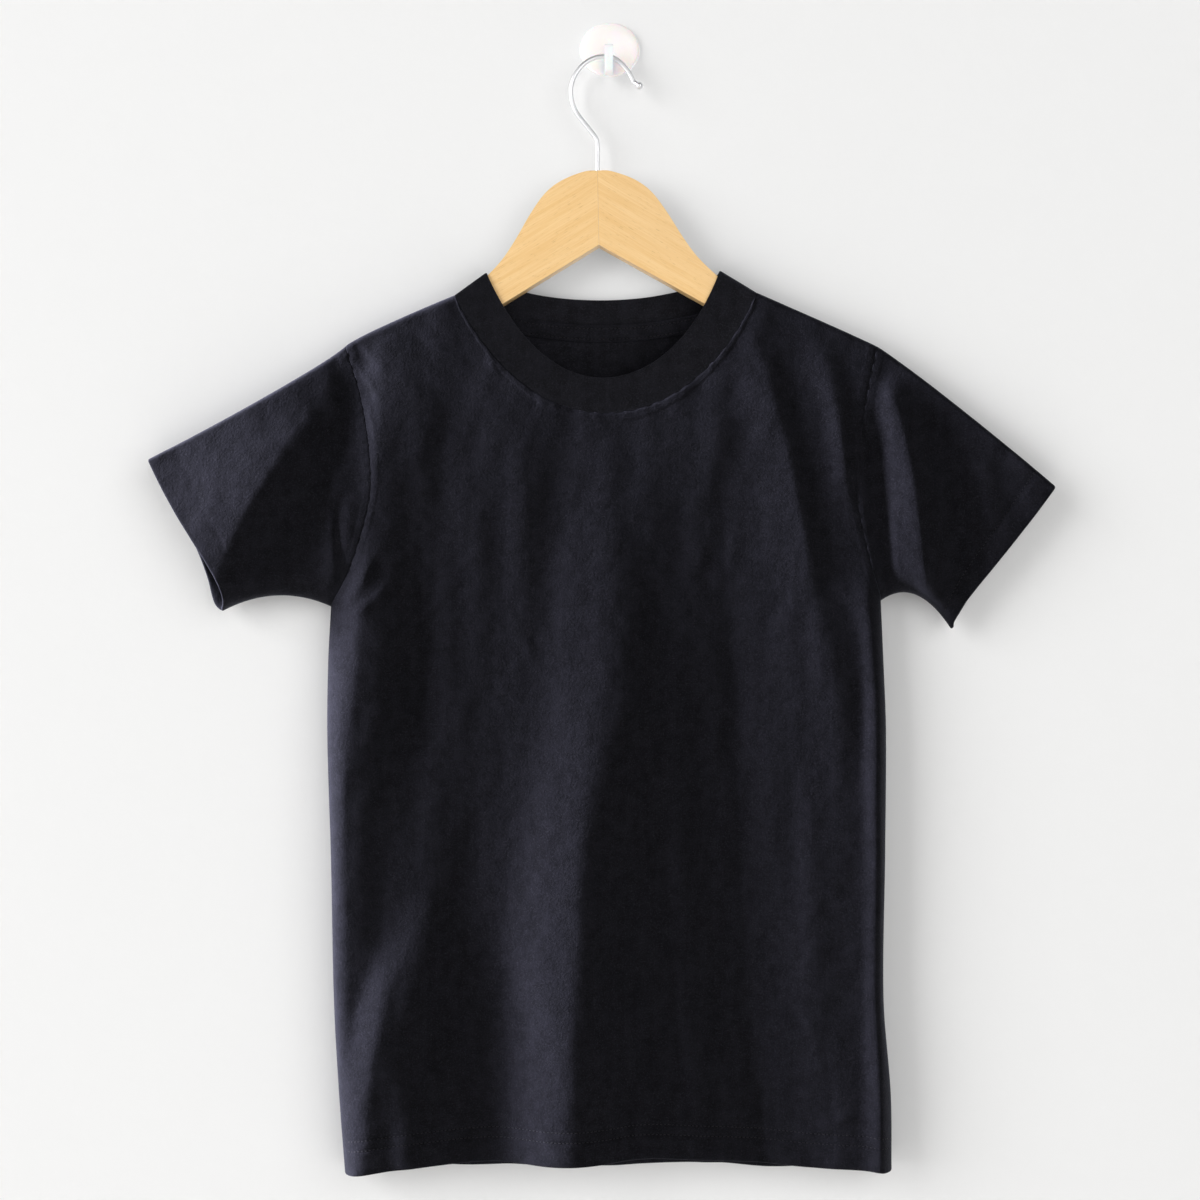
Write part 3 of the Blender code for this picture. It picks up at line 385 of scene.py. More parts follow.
def cloth_depth(face, point, extra=0.0):
    """Y of the cloth, which comes down off the hanger's arms into the front and back faces."""
    on_ridge = -HANG_DEPTH + face * SEAM_GAP / 2
    come_down = round_off(ridge_drop(point) / RIDGE_ROUND, RIDGE_SQUARENESS)
    return mix(on_ridge, face_depth(face, point) + face * extra, come_down)


def side_depth(face, hand, share):
    """Y along a panel's side: the closed side seam, then the armhole, where the panels part."""
    point = side_edge(hand, share)
    seam = -read_rows(DEPTH_LEVELS, "seam", -point.imag / MM) * MM + face * SEAM_GAP / 2
    above_armpit = (share - ARMPIT_SHARE) / (1 - ARMPIT_SHARE) * ARMHOLE_HEIGHT
    opened = round_off(above_armpit / UNDERARM_ROUND, SIDE_SQUARENESS)
    return mix(seam, cloth_depth(face, point), opened)


def crowd(count, places):
    """Shares from 0 to 1, closer together round each place of a table of (place, width, times)."""
    fine = np.linspace(0, 1, 6001)
    density = 1 + sum(times * np.exp(-((fine - place) / width) ** 2) for place, width, times in places)
    run = np.concatenate([[0], np.cumsum(density[1:] + density[:-1])])
    return np.interp(np.linspace(0, 1, count), run / run[-1], fine)


# A seam seen from outside: a groove on the line, then the swell of the allowance turned under it.
GROOVE, GROOVE_WIDTH = 0.25 * MM, 1.0 * MM
ARMHOLE_GROOVE = 0.8 * GROOVE
SWELL, ALLOWANCE = 0.16 * MM, 4.6 * MM
SWELL_RISE, SWELL_FALL = 1.5 * MM, 2.2 * MM
FINE_PUCKER, CROSS_PUCKER, PUCKER_PATCH = 0.82 * MM, 1.37 * MM, 7.1 * MM
PUCKER_REACH = 3.6 * MM
ROPE_SLANT, ROPE_MIDDLE, ROPE_REACH = 6, 9, 8           # of a hem's ropes, in millimetres
NECK_FADE, ARMHOLE_FADE = 0.01, 0.02                    # shares in which their seams begin


def seam_lift(distance, along, swell=SWELL, gather=0.11 * MM):
    """Lift of the cloth near a seam, with the small uneven puckers of its stitches."""
    groove = -GROOVE * np.exp(-(distance / GROOVE_WIDTH) ** 2)
    under = smooth_step(distance / SWELL_RISE) * (1 - smooth_step((distance - ALLOWANCE) / SWELL_FALL))
    pucker = np.sin(along / FINE_PUCKER) * np.sin(along / PUCKER_PATCH) + np.sin(along / CROSS_PUCKER + 1.3)
    fade = np.exp(-(distance / PUCKER_REACH) ** 2)
    return groove + swell * under + gather * pucker * fade


def hem_lift(height, along, rows, width, groove, rope, pitch):
    """Lift of a turned hem, at a height above its edge in millimetres: a groove of some width at
    each row of stitches, and between them the slanting ropes into which the cloth is twisted."""
    sewn = sum(np.exp(-((height - row) / width) ** 2) for row in rows)
    twist = np.sin(along / pitch + height / ROPE_SLANT)
    return rope * twist * np.exp(-((height - ROPE_MIDDLE) / ROPE_REACH) ** 2) - groove * sewn


def panel_grid(face, columns, rows):
    """Points of a panel's outer face, and the lengths of its cloth across and up to them."""
    across, up = np.meshgrid(columns, rows)
    point = fill_patch(
        across, up, lambda share: hem_edge(face, share), lambda share: top_edge(face, share),
        lambda share: side_edge(LEFT, share), lambda share: side_edge(RIGHT, share))
    below_top = np.abs(point - top_edge(face, across))
    at_neck = smooth_step((across - SHOULDER_SHARE) / NECK_FADE)
    at_neck = at_neck * smooth_step((1 - SHOULDER_SHARE - across) / NECK_FADE)
    extra = seam_lift(below_top, across * NECK_RUN, 1.5 * SWELL, 0.18 * MM) * at_neck
    on_armhole = smooth_step((up - ARMPIT_SHARE) / ARMHOLE_FADE)
    for hand, aside in ((LEFT, across), (RIGHT, 1 - across)):
        lift = seam_lift(np.abs(point - side_edge(hand, up)), up * SIDE_RUN, 1.1 * SWELL, 0.22 * MM)
        extra = extra + lift * on_armhole * (aside < 0.2)
    # the hem is pressed flat at its edge and swells from there to its stitches
    above_hem = (point.imag - hem_edge(face, across).imag) / MM
    roll = smooth_step(above_hem / 2) * (1 - smooth_step((above_hem - 12) / 2))
    extra = extra + 0.14 * MM * roll + hem_lift(
        above_hem, point.real, HEM_ROWS, width=0.9, groove=0.22 * MM, rope=0.12 * MM, pitch=5.3 * MM)
    turned = round_off(np.minimum(across, 1 - across) / SIDE_ROUND, SIDE_SQUARENESS)
    side = mix(side_depth(face, LEFT, up), side_depth(face, RIGHT, up), across)
    depth = mix(side - face * ARMHOLE_GROOVE * on_armhole, cloth_depth(face, point, extra), turned)
    grid = np.stack([point.real, depth, point.imag], axis=-1)
    return grid, np.stack([across * PANEL_WIDTH, up * PANEL_HEIGHT], axis=-1)


def grid_normals(grid, closed=False):
    """Unit normals of a grid of points, all to the same side of it."""
    if closed:
        along = np.roll(grid, -1, axis=1) - np.roll(grid, 1, axis=1)
    else:
        along = np.gradient(grid, axis=1)
    normal = np.cross(along, np.gradient(grid, axis=0))
    return normal / np.maximum(np.linalg.norm(normal, axis=-1, keepdims=True), 1e-12)


def face_out(normals, toward):
    """The normals of a grid, turned round where they don't look toward the front or the back, as
    those halfway up it and a quarter of the way along it should."""
    probe = normals[normals.shape[0] // 2, normals.shape[1] // 4]
    return normals if probe[1] * toward > 0 else -normals


def turn_under(grid, lengths, normals, depth, rise):
    """The grid with rows before it that carry the cloth round a fold and up its own inside."""
    radius = depth / 2
    inward = -normals[0]
    up = grid[3] - grid[0]
    up = up / np.linalg.norm(up, axis=-1, keepdims=True)
    climb = np.linalg.norm(np.diff(grid, axis=0), axis=-1).mean(axis=1).cumsum()
    last = int(np.searchsorted(climb, rise))
    made, cloth = [], []
    for row in range(last, 1, -2):
        made.append(grid[row] - normals[row] * depth)
        cloth.append(lengths[0] - np.array([0, climb[row - 1] + pi * radius]))
    for angle in np.linspace(0, pi, 5, endpoint=False):
        made.append(grid[0] + inward * radius * (1 + cos(angle)) - up * radius * sin(angle) * 0.9)
        cloth.append(lengths[0] - np.array([0, radius * (pi - angle)]))
    return np.concatenate([made, grid]), np.concatenate([cloth, lengths])


def in_scene(name, data):
    item = bpy.data.objects.new(name, data)
    bpy.context.scene.collection.objects.link(item)
    return item


def sew_mesh(name, grid, lengths, closed, flip, material):
    """Object of one skin of cloth from a grid of points, with its lengths as a UV map in metres."""
    rows, columns = grid.shape[:2]
    index = np.arange(rows * columns).reshape(rows, columns)
    after = np.roll(index, -1, axis=1) if closed else index[:, 1:]
    start = index if closed else index[:, :-1]
    faces = np.stack([start[:-1], after[:-1], after[1:], start[1:]], axis=-1).reshape(-1, 4)
    if flip:
        faces = faces[:, ::-1]
    mesh = bpy.data.meshes.new(name)
    mesh.from_pydata(grid.reshape(-1, 3).tolist(), [], faces.tolist())
    layer = mesh.uv_layers.new(name="cloth")
    flat = lengths.reshape(-1, 2)[faces.reshape(-1)]
    layer.data.foreach_set("uv", flat.astype(np.float32).ravel())
    mesh.shade_smooth()
    mesh.materials.append(material)
    return in_scene(name, mesh)


def add_wall(item, thickness):
    """Gives one skin of cloth its thickness, inwards."""
    wall = item.modifiers.new("wall", "SOLIDIFY")
    wall.thickness = thickness
    wall.offset = -1.0
    wall.use_quality_normals = True
    wall.use_even_offset = False


def add_node(tree, kind, inputs=None, **settings):
    """A shader node with its settings and inputs; an input is a value or another node's socket."""
    made = tree.nodes.new(kind)
    for setting, value in settings.items():
        setattr(made, setting, value)
    for socket, value in (inputs or {}).items():
        if isinstance(value, bpy.types.NodeSocket):
            tree.links.new(value, made.inputs[socket])
        else:
            made.inputs[socket].default_value = value
    return made


def calc(tree, operation, first, second=0.0):
    return add_node(tree, "ShaderNodeMath", {0: first, 1: second}, operation=operation).outputs[0]


def object_place(tree):
    return add_node(tree, "ShaderNodeTexCoord").outputs["Object"]


def noise(tree, place, scale, detail):
    return add_node(tree, "ShaderNodeTexNoise", {"Vector": place, "Scale": scale,
                                                 "Detail": detail}).outputs[0]


def remap(tree, value, low, high, start=0.0, end=1.0):
    """The part of a value between low and high, stretched to run from start to end."""
    return add_node(tree, "ShaderNodeMapRange", {"Value": value, "From Min": low, "From Max": high,
                                                 "To Min": start, "To Max": end}).outputs[0]


def blend(tree, factor, first, second):
    """Colour between two, each given as red, green and blue or as another node's socket."""
    first, second = ((*color, 1.0) if isinstance(color, tuple) else color for color in (first, second))
    return add_node(tree, "ShaderNodeMix", {"Factor": factor, "A": first, "B": second},
                    data_type="RGBA").outputs["Result"]


def relief(tree, height, strength, distance, **under):
    """Normal of a surface with a height on it, over another relief where Normal is given."""
    return add_node(tree, "ShaderNodeBump", {"Height": height, "Strength": strength,
                                             "Distance": distance, **under}).outputs[0]


def new_material(name, roughness, **values):
    """A material with its tree and its Principled shader, the shader's plain values set."""
    material = bpy.data.materials.new(name)
    material.use_nodes = True
    shader = material.node_tree.nodes["Principled BSDF"]
    shader.inputs["Roughness"].default_value = roughness
    for socket, value in values.items():
        shader.inputs[socket.replace("_", " ")].default_value = value
    return material, material.node_tree, shader


LOOP_LEAN, LOOP_HEIGHT = 1.6, 0.45
LINT = (0.045, 0.044, 0.054)


def knit_height(tree, wale, course):
    """Height of a knit's face, from its UV map: columns of V-shaped loops, one to each wale."""
    cloth = add_node(tree, "ShaderNodeUVMap", uv_map="cloth").outputs[0]
    split = add_node(tree, "ShaderNodeSeparateXYZ", {0: cloth})
    u = calc(tree, "MULTIPLY", split.outputs[0], 1 / wale)
    v = calc(tree, "MULTIPLY", split.outputs[1], 1 / course)
    leg = calc(tree, "PINGPONG", u, 0.5)
    columns = calc(tree, "SINE", calc(tree, "MULTIPLY", leg, 2 * pi))
    lean = calc(tree, "ADD", v, calc(tree, "MULTIPLY", leg, LOOP_LEAN))
    loops = calc(tree, "SINE", calc(tree, "MULTIPLY", lean, 2 * pi))
    return calc(tree, "ADD", columns, calc(tree, "MULTIPLY", loops, LOOP_HEIGHT))


def cloth_material(name, dark, light, wale, course):
    """Washed black cotton: fine loops, a mottle of fading, flecks of lint and a faint cool sheen."""
    material, tree, shader = new_material(name, 0.95, Sheen_Weight=0.10, Sheen_Roughness=0.5,
                                          Sheen_Tint=(0.76, 0.78, 1.0, 1.0), Specular_IOR_Level=0.12)
    place = object_place(tree)
    fibre = noise(tree, place, 820.0, 3.0)
    fading = noise(tree, place, 150.0, 4.0)
    drawn_out = add_node(tree, "ShaderNodeMapping", {"Vector": place, "Scale": (210.0, 60.0, 22.0)})
    streak = noise(tree, drawn_out.outputs[0], 1.0, 3.0)
    tone = calc(tree, "ADD", calc(tree, "MULTIPLY", fibre, 0.40), calc(tree, "MULTIPLY", fading, 0.38))
    tone = calc(tree, "ADD", tone, calc(tree, "MULTIPLY", streak, 0.22))
    color = blend(tree, remap(tree, tone, 0.405, 0.595), dark, light)
    lint = remap(tree, noise(tree, place, 1300.0, 1.0), 0.54, 0.82, end=0.42)
    tree.links.new(blend(tree, lint, color, LINT), shader.inputs["Base Color"])
    loops = relief(tree, knit_height(tree, wale, course), 0.25, 0.10 * MM)
    fuzz = relief(tree, fibre, 0.6, 0.42 * MM, Normal=loops)
    lumps = relief(tree, fading, 0.5, 0.9 * MM, Normal=fuzz)
    tree.links.new(lumps, shader.inputs["Normal"])
    return material


jersey = cloth_material("black_jersey", (0.0062, 0.0062, 0.0081), (0.0130, 0.0128, 0.0172),
                        0.95 * MM, 0.75 * MM)

# The grids are closer at the sides, at the ends of the neck, at the hem and at the armpits.
PANEL_COLUMNS = crowd(178, ((0.0, 0.022, 4.5), (1.0, 0.022, 4.5), (0.20, 0.012, 1.5), (0.80, 0.012, 1.5)))
PANEL_ROWS = crowd(236, ((0.0, 0.006, 2.0), (0.027, 0.012, 1.2), (0.04, 0.008, 1.0), (1.0, 0.016, 3.0),
                         (0.70, 0.02, 0.6)))
panels = {}
for name, face in (("front_body", FRONT), ("back_body", BACK)):
    grid, lengths = panel_grid(face, PANEL_COLUMNS, PANEL_ROWS)
    outward = face_out(grid_normals(grid), face)
    grid = np.concatenate([grid, grid[-1:] - outward[-1:] * SEAM_TURN])
    lengths = np.concatenate([lengths, lengths[-1:] + np.array([0, SEAM_TURN])])
    grid, lengths = turn_under(grid, lengths, outward, HEM_DOUBLE, HEM_INSIDE)
    panel = sew_mesh(name, grid, lengths, False, face == BACK, jersey)
    add_wall(panel, JERSEY_WALL)
    panels[face] = panel
    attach(panel, "root")
    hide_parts("front_panel" if face == FRONT else "back_panel")

# ------------------------------------------------------------------------------ neckband
# One ring of cotton rib, cut as a strip, folded in half along its length and sewn to the neck edge
# under a little tension, so that it stands in a smooth curve.
rib = cloth_material("black_rib", (0.0066, 0.0066, 0.0084), (0.0130, 0.0128, 0.0170),
                     1.1 * MM, 0.8 * MM)
BAND_ROUND, BAND_CUT = 0.42, 0.042      # length and width of the strip
BAND_THICK = 1.7 * MM                   # folded double
BAND_TUCK, TUCK_DEPTH = -0.06, 0.9 * MM         # its edge, pressed in under the panels'
BAND_ROWS = 13
PLUMPNESS, SEAM_PINCH = 0.28 * MM, 0.15 * MM
RIBS, RIB_HEIGHT, POINTS_PER_RIB = 210, 0.022 * MM, 4


def neckband_face():
    """Grid of the band's outer face, from its tucked edge in to the fold at the neck."""
    angles = np.linspace(0, 2 * pi, RIBS * POINTS_PER_RIB, endpoint=False)
    ribs = RIB_HEIGHT * np.cos(np.arange(len(angles)) * 2 * pi / POINTS_PER_RIB)
    front = (angles > 0) & (angles < pi)
    rows = []
    for share in (BAND_TUCK, *np.linspace(0, 1, BAND_ROWS)):
        point = neck_edge(share, angles)
        depth = np.where(front, cloth_depth(FRONT, point), cloth_depth(BACK, point))
        come_down = round_off(ridge_drop(point) / RIDGE_ROUND, RIDGE_SQUARENESS)
        plump = PLUMPNESS * np.sin(pi * min(share + 0.12, 1.0))
        plump = plump - SEAM_PINCH * (share == 0) - TUCK_DEPTH * (share < 0)
        depth = depth + np.where(front, FRONT, BACK) * (plump + ribs) * come_down
        rows.append(np.stack([point.real, depth, point.imag], axis=-1))
    return np.array(rows)


@contextmanager
def reworking(mesh):
    """Opens a mesh as a BMesh and writes it back at the end."""
    build = bmesh.new()
    build.from_mesh(mesh)
    yield build
    build.to_mesh(mesh)
    build.free()


outer = neckband_face()
inner = outer - face_out(grid_normals(outer, closed=True), FRONT) * BAND_THICK
inward = outer[-1] - outer[-2]
inward = inward / np.linalg.norm(inward, axis=-1, keepdims=True)
middle, half_thick = (outer[-1] + inner[-1]) / 2, (outer[-1] - inner[-1]) / 2
fold = [middle + half_thick * cos(angle) + inward * BAND_THICK / 2 * sin(angle)
        for angle in np.linspace(0, pi, 7)[1:-1]]
band = np.array([*outer, *fold, *inner[::-1], outer[0]])
lengths = np.stack(np.meshgrid(np.linspace(0, BAND_ROUND, band.shape[1]),
                               np.linspace(0, BAND_CUT, band.shape[0])), axis=-1)
neckband = sew_mesh("neckband_rib", band, lengths, True, False, rib)
with reworking(neckband.data) as build:
    bmesh.ops.remove_doubles(build, verts=build.verts, dist=1e-6)
    bmesh.ops.recalc_face_normals(build, faces=build.faces)
neckband.data.shade_smooth()
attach(neckband, "root")
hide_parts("neckband")

# ------------------------------------------------------------------------------ neck tape
# A narrow strip of the same jersey, laid flat over the back neck seam on the inside, so that its
# upper half covers the band's edge and its lower half the panel's; a row of stitches holds each edge.
TAPE_WIDTH, TAPE_REACH, TAPE_WALL = 10 * MM, 66 * MM, 0.7 * MM
ON_BAND, ON_PANEL = 2.7 * MM, 2.0 * MM      # from the back's outer face to the tape's own face
TAPE_ROWS = (0.15, 0.78)


def tape_points(share, level):
    """Points of the tape's face; share runs along it, level from its lower to its upper edge."""
    turn = asin(TAPE_REACH / (NECK_SEAM.half_width * MM))
    middle = neck_edge(0.0, 1.5 * pi + turn * (2 * share - 1))
    point = middle + 1j * (level - 0.5) * TAPE_WIDTH
    sewn = sum(np.exp(-((level - row) / 0.07) ** 2) for row in TAPE_ROWS)
    pucker = np.sin(share * 2 * TAPE_REACH / (1.3 * MM)) * (0.3 + sewn)
    rise = mix(ON_PANEL, ON_BAND, smooth_step(level)) - 0.16 * MM * sewn + 0.05 * MM * pucker
    depth = cloth_depth(BACK, middle) - rise
    lengths = np.stack([share * 2 * TAPE_REACH, level * TAPE_WIDTH], axis=-1)
    return np.stack([point.real, depth, point.imag], axis=-1), lengths


grid, lengths = tape_points(*np.meshgrid(np.linspace(0, 1, 240), np.linspace(0, 1, 19)))
tape = sew_mesh("neck_tape_jersey", grid, lengths, False, False, jersey)
if tape.data.polygons[0].normal.y > 0:
    tape.data.flip_normals()
add_wall(tape, TAPE_WALL)
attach(tape, "root")
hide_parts("neck_tape")

# ------------------------------------------------------------------------------ sleeves
# Two short set-in sleeves of the same jersey, each one piece with its seam under the arm, eased
# into the armhole and turned up at the cuff.
CUFF_MIDDLE = 0.0135                    # from the wall
SLEEVE_DEPTH = {FRONT: 0.0100, BACK: 0.0085}
HALF_ROUND = 0.17                       # cloth of a sleeve from its top to its underarm seam
# The cuff's ends in metres; how far the edges bow and how deep the hem is in millimetres.
Sleeve = namedtuple("Sleeve", "cuff_top cuff_foot top_bow under_bow front_bow back_bow back_foot hem")
SLEEVES = {
    LEFT: Sleeve(-0.2780 - 0.2472j, -0.2342 - 0.3395j, -3.2, 8.0, 7.6, 1.4, 3.0, 18.0),
    RIGHT: Sleeve(0.2709 - 0.2635j, 0.2085 - 0.3500j, 2.2, 12.0, 4.0, 2.8, 0.0, 15.0),
}
SLEEVE_FOLDS = {
    (LEFT, FRONT): (        # a sharp ridge from the shoulder to the cuff's foot, with slack under it
        Fold(84, 30, 0.15, ((188, -164, 0.0), (206, -172, 4.0), (232, -189, 7.8),
                            (264, -208, 10.2), (296, -226, 10.0), (330, -240, 6.8))),
        Fold(14, 16, 0.3, ((262, -150, 0.0), (296, -160, 1.4), (334, -168, 1.2))),
        Fold(4, 9, 0.3, ((264, -160, 0.0), (286, -163, -1.5), (308, -162, -1.7), (330, -160, 0.0))),
        Fold(5, 6, 0.4, ((312, -206, 0.0), (318, -190, 0.8), (326, -170, 0.0))),
    ),
    (RIGHT, FRONT): (       # a ridge beside the armhole, with a hollow at each side
        Fold(19, 24, 0.3, ((196, 167, 0.0), (212, 173, 3.4), (260, 184, 5.0),
                           (310, 190, 4.6), (345, 194, 3.0))),
        Fold(12, 10, 0.2, ((206, 160, 0.0), (232, 162, -1.7), (268, 165, -2.6),
                           (305, 166, -3.4), (336, 170, -2.4))),
        Fold(22, 20, 0.0, ((216, 196, 0.0), (260, 210, -2.0), (325, 214, -2.2), (350, 216, -1.0))),
        Fold(8, 10, 0.4, ((316, 176, 0.0), (322, 190, 1.0), (330, 204, 0.0))),
    ),
    (LEFT, BACK): (
        Fold(30, 26, 0.2, ((200, -176, 0.0), (260, -200, -3.0), (340, -226, -2.5))),
        Fold(14, 15, 0.0, ((262, -276, 0.0), (290, -262, -3.4), (345, -235, -4.0))),
    ),
    (RIGHT, BACK): (
        Fold(24, 30, 0.2, ((205, 176, 0.0), (270, 198, -3.0), (345, 214, -2.0))),
    ),
}


def cuff_hollow(share):
    """How far the front of a cuff is drawn in along its height, most of all near its foot."""
    u = share ** 0.42
    return (4 * u * (1 - u)) ** 2.4


def foot_reach(share):
    """How far the back of a cuff reaches out, most of all just above its foot."""
    u = share ** 0.25
    return (4 * u * (1 - u)) ** 6


def sleeve_skin(hand, face, up, out):
    """Points of one face of a sleeve, up from the underarm and out from the armhole."""
    sleeve = SLEEVES[hand]

    def cuff_edge(share):
        drawn_in = sleeve.front_bow * cuff_hollow(share)
        if face == BACK:
            drawn_in = sleeve.back_bow * 4 * share * (1 - share) - sleeve.back_foot * foot_reach(share)
        return mix(sleeve.cuff_foot, sleeve.cuff_top, share) - hand * drawn_in * MM

    point = fill_patch(
        out, up, lambda share: bowed(ARMPITS[hand], sleeve.cuff_foot, share, 1j * sleeve.under_bow * MM),
        lambda share: bowed(SHOULDER_TIPS[hand], sleeve.cuff_top, share, 1j * sleeve.top_bow * MM, 0.75),
        lambda share: armhole_edge(hand, share), cuff_edge)
    armhole_depth = side_depth(face, hand, mix(ARMPIT_SHARE, 1.0, up)) - face * ARMHOLE_GROOVE
    turned = np.minimum(round_off(up * ARMHOLE_HEIGHT / UNDERARM_ROUND, SIDE_SQUARENESS),
                        round_off((1 - up) * ARMHOLE_HEIGHT / RIDGE_ROUND, RIDGE_SQUARENESS))
    cuff_depth = -CUFF_MIDDLE + face * SLEEVE_DEPTH[face] * turned
    lift = fold_lift(SLEEVE_FOLDS[hand, face], point) + 0.5 * streak_lift(point, hand * 2.1 + face)
    lift = (lift + rumple_lift(point, hand + face)) * smooth_step(out / 0.12)
    length = abs(sleeve.cuff_top - SHOULDER_TIPS[hand])
    from_armhole, from_cuff = out * length, (1 - out) * length / MM
    lift = lift + seam_lift(from_armhole, up * HALF_ROUND)
    lift = lift + GROOVE * np.exp(-(from_armhole / GROOVE_WIDTH) ** 2)      # the panel has the groove
    lift = lift + hem_lift(from_cuff, up * HALF_ROUND, (sleeve.hem,), width=1.2, groove=0.36 * MM,
                           rope=0.20 * MM, pitch=4.6 * MM)
    depth = mix(armhole_depth, cuff_depth, smooth_step(out)) + face * lift * turned
    lengths = np.stack([out * length, face * (1 - up) * HALF_ROUND], axis=-1)
    return np.stack([point.real, depth, point.imag], axis=-1), lengths


SLEEVE_UPS = crowd(92, ((0.0, 0.05, 3.0), (1.0, 0.03, 4.0)))
SLEEVE_OUTS = 1 - crowd(72, ((0.0, 0.03, 1.5), (1.0, 0.05, 3.0)))
for name, hand in (("left_sleeve", LEFT), ("right_sleeve", RIGHT)):
    front = sleeve_skin(hand, FRONT, *np.meshgrid(SLEEVE_UPS[::-1], SLEEVE_OUTS))
    back = sleeve_skin(hand, BACK, *np.meshgrid(SLEEVE_UPS[1:-1], SLEEVE_OUTS))
    grid, lengths = (np.concatenate(pair, axis=1) for pair in zip(front, back))
    outward = face_out(grid_normals(grid, closed=True), FRONT)
    grid = np.concatenate([grid, grid[-1:] - outward[-1:] * SEAM_TURN])
    lengths = np.concatenate([lengths, lengths[-1:]])
    grid, lengths = turn_under(grid, lengths, outward, HEM_DOUBLE, SLEEVES[hand].hem * MM)
    sleeve = sew_mesh(name + "_jersey", grid, lengths, True, hand == RIGHT, jersey)
    add_wall(sleeve, JERSEY_WALL)
    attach(sleeve, "root")
    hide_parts(name)

# ------------------------------------------------------------------------------ sewing
# Rows of cover stitch in black thread: two round the hem, one round each cuff and one along each
# edge of the neck tape.  Each stitch is a short thread that dips into a needle hole at its end, and the
# hole's shade is painted: a flat near-black body between the threads.
thread = new_material("black_thread", 0.6, Base_Color=(0.0100, 0.0097, 0.0130, 1.0),
                      Sheen_Weight=0.1, Specular_IOR_Level=0.3)[0]
# Painted shade: the near-black colour of each needle-hole body stands for the shadow inside the hole.
painted_hole_shade = new_material("painted_hole_shade", 0.95, Base_Color=(0.0022, 0.0022, 0.0028, 1.0),
                           Specular_IOR_Level=0.1)[0]
STITCH = 2.4 * MM                       # from one needle hole to the next
THREAD_RISE = 0.02 * MM
THREAD_SIZE = (0.80 * MM, 0.22 * MM, 0.12 * MM)         # half of its length, width and height
HOLE_SIZE = (0.30 * MM, 0.34 * MM, 0.06 * MM)


def on_panel(face, points):
    """Places on a panel and its outward directions there, straight in from front-view points."""
    mesh = panels[face].data
    skin = BVHTree.FromPolygons([vert.co for vert in mesh.vertices],
                                [side.vertices for side in mesh.polygons])
    places, outward = [], []
    for point in points:
        hit, normal, _, _ = skin.ray_cast(Vector((point.real, 0.2 * face, point.imag)), (0, -face, 0))
        if hit:
            places.append(hit)
            outward.append(normal if normal.y * face > 0 else -normal)
    return places, outward


def on_grid(points, toward):
    """The middle row of three rows of points, and the outward directions there."""
    outward = grid_normals(points)[1]
    return points[1], outward * np.sign(outward[:, 1:2] * toward)


# Every row stops just short of the seams at its ends.
stitch_rows = []
for face in (FRONT, BACK):
    hem = hem_edge(face, np.linspace(0.012, 0.988, 260))
    for level in HEM_ROWS:
        stitch_rows.append(on_panel(face, hem + 1j * level * MM))
for hand, sleeve in SLEEVES.items():
    out = 1 - sleeve.hem * MM / abs(sleeve.cuff_top - SHOULDER_TIPS[hand])
    spots = np.meshgrid(np.linspace(0.03, 0.97, 150), (out - 0.004, out, out + 0.004))
    for face in (FRONT, BACK):
        stitch_rows.append(on_grid(sleeve_skin(hand, face, *spots)[0], face))
for level in TAPE_ROWS:
    spots = np.meshgrid(np.linspace(0.01, 0.99, 200), (level - 0.02, level, level + 0.02))
    stitch_rows.append(on_grid(tape_points(*spots)[0], FRONT))


def stitch_tree():
    """Geometry nodes that set one small rounded body at every pitch along rows of points."""
    tree = bpy.data.node_groups.new("stitches", "GeometryNodeTree")
    for name, kind in (("Rows", "NodeSocketGeometry"), ("Pitch", "NodeSocketFloat"),
                       ("Shift", "NodeSocketVector"), ("Size", "NodeSocketVector"),
                       ("Material", "NodeSocketMaterial")):
        tree.interface.new_socket(name, in_out="INPUT", socket_type=kind)
    tree.interface.new_socket("Stitches", in_out="OUTPUT", socket_type="NodeSocketGeometry")
    given = tree.nodes.new("NodeGroupInput").outputs
    curve = add_node(tree, "GeometryNodeMeshToCurve", {"Mesh": given["Rows"]})
    even = add_node(tree, "GeometryNodeResampleCurve", {"Curve": curve.outputs[0],
                                                        "Length": given["Pitch"]}, mode="LENGTH")
    outward = add_node(tree, "GeometryNodeInputNamedAttribute", {"Name": "outward"},
                       data_type="FLOAT_VECTOR")
    tangent = add_node(tree, "GeometryNodeInputTangent")
    turn = add_node(tree, "FunctionNodeAxesToRotation", {"Primary Axis": tangent.outputs[0],
                                                         "Secondary Axis": outward.outputs[0]},
                    primary_axis="X", secondary_axis="Z")
    ball = add_node(tree, "GeometryNodeMeshUVSphere", {"Segments": 8, "Rings": 5, "Radius": 1.0})
    body = add_node(tree, "GeometryNodeTransform", {"Geometry": ball.outputs[0], "Scale": given["Size"],
                                                    "Translation": given["Shift"]})
    uneven = add_node(tree, "FunctionNodeRandomValue", {"Min": (0.80, 0.8, 0.7), "Max": (1.10, 1.2, 1.2),
                                                        "Seed": 4}, data_type="FLOAT_VECTOR")
    placed = add_node(tree, "GeometryNodeInstanceOnPoints", {
        "Points": even.outputs[0], "Instance": body.outputs[0], "Rotation": turn.outputs[0],
        "Scale": uneven.outputs[0]})
    real = add_node(tree, "GeometryNodeRealizeInstances", {0: placed.outputs[0]})
    dressed = add_node(tree, "GeometryNodeSetMaterial", {"Geometry": real.outputs[0],
                                                         "Material": given["Material"]})
    tree.links.new(dressed.outputs[0], tree.nodes.new("NodeGroupOutput").inputs[0])
    return tree


def plain_mesh(item):
    """New mesh of an object as its modifiers leave it."""
    return bpy.data.meshes.new_from_object(item.evaluated_get(bpy.context.evaluated_depsgraph_get()))


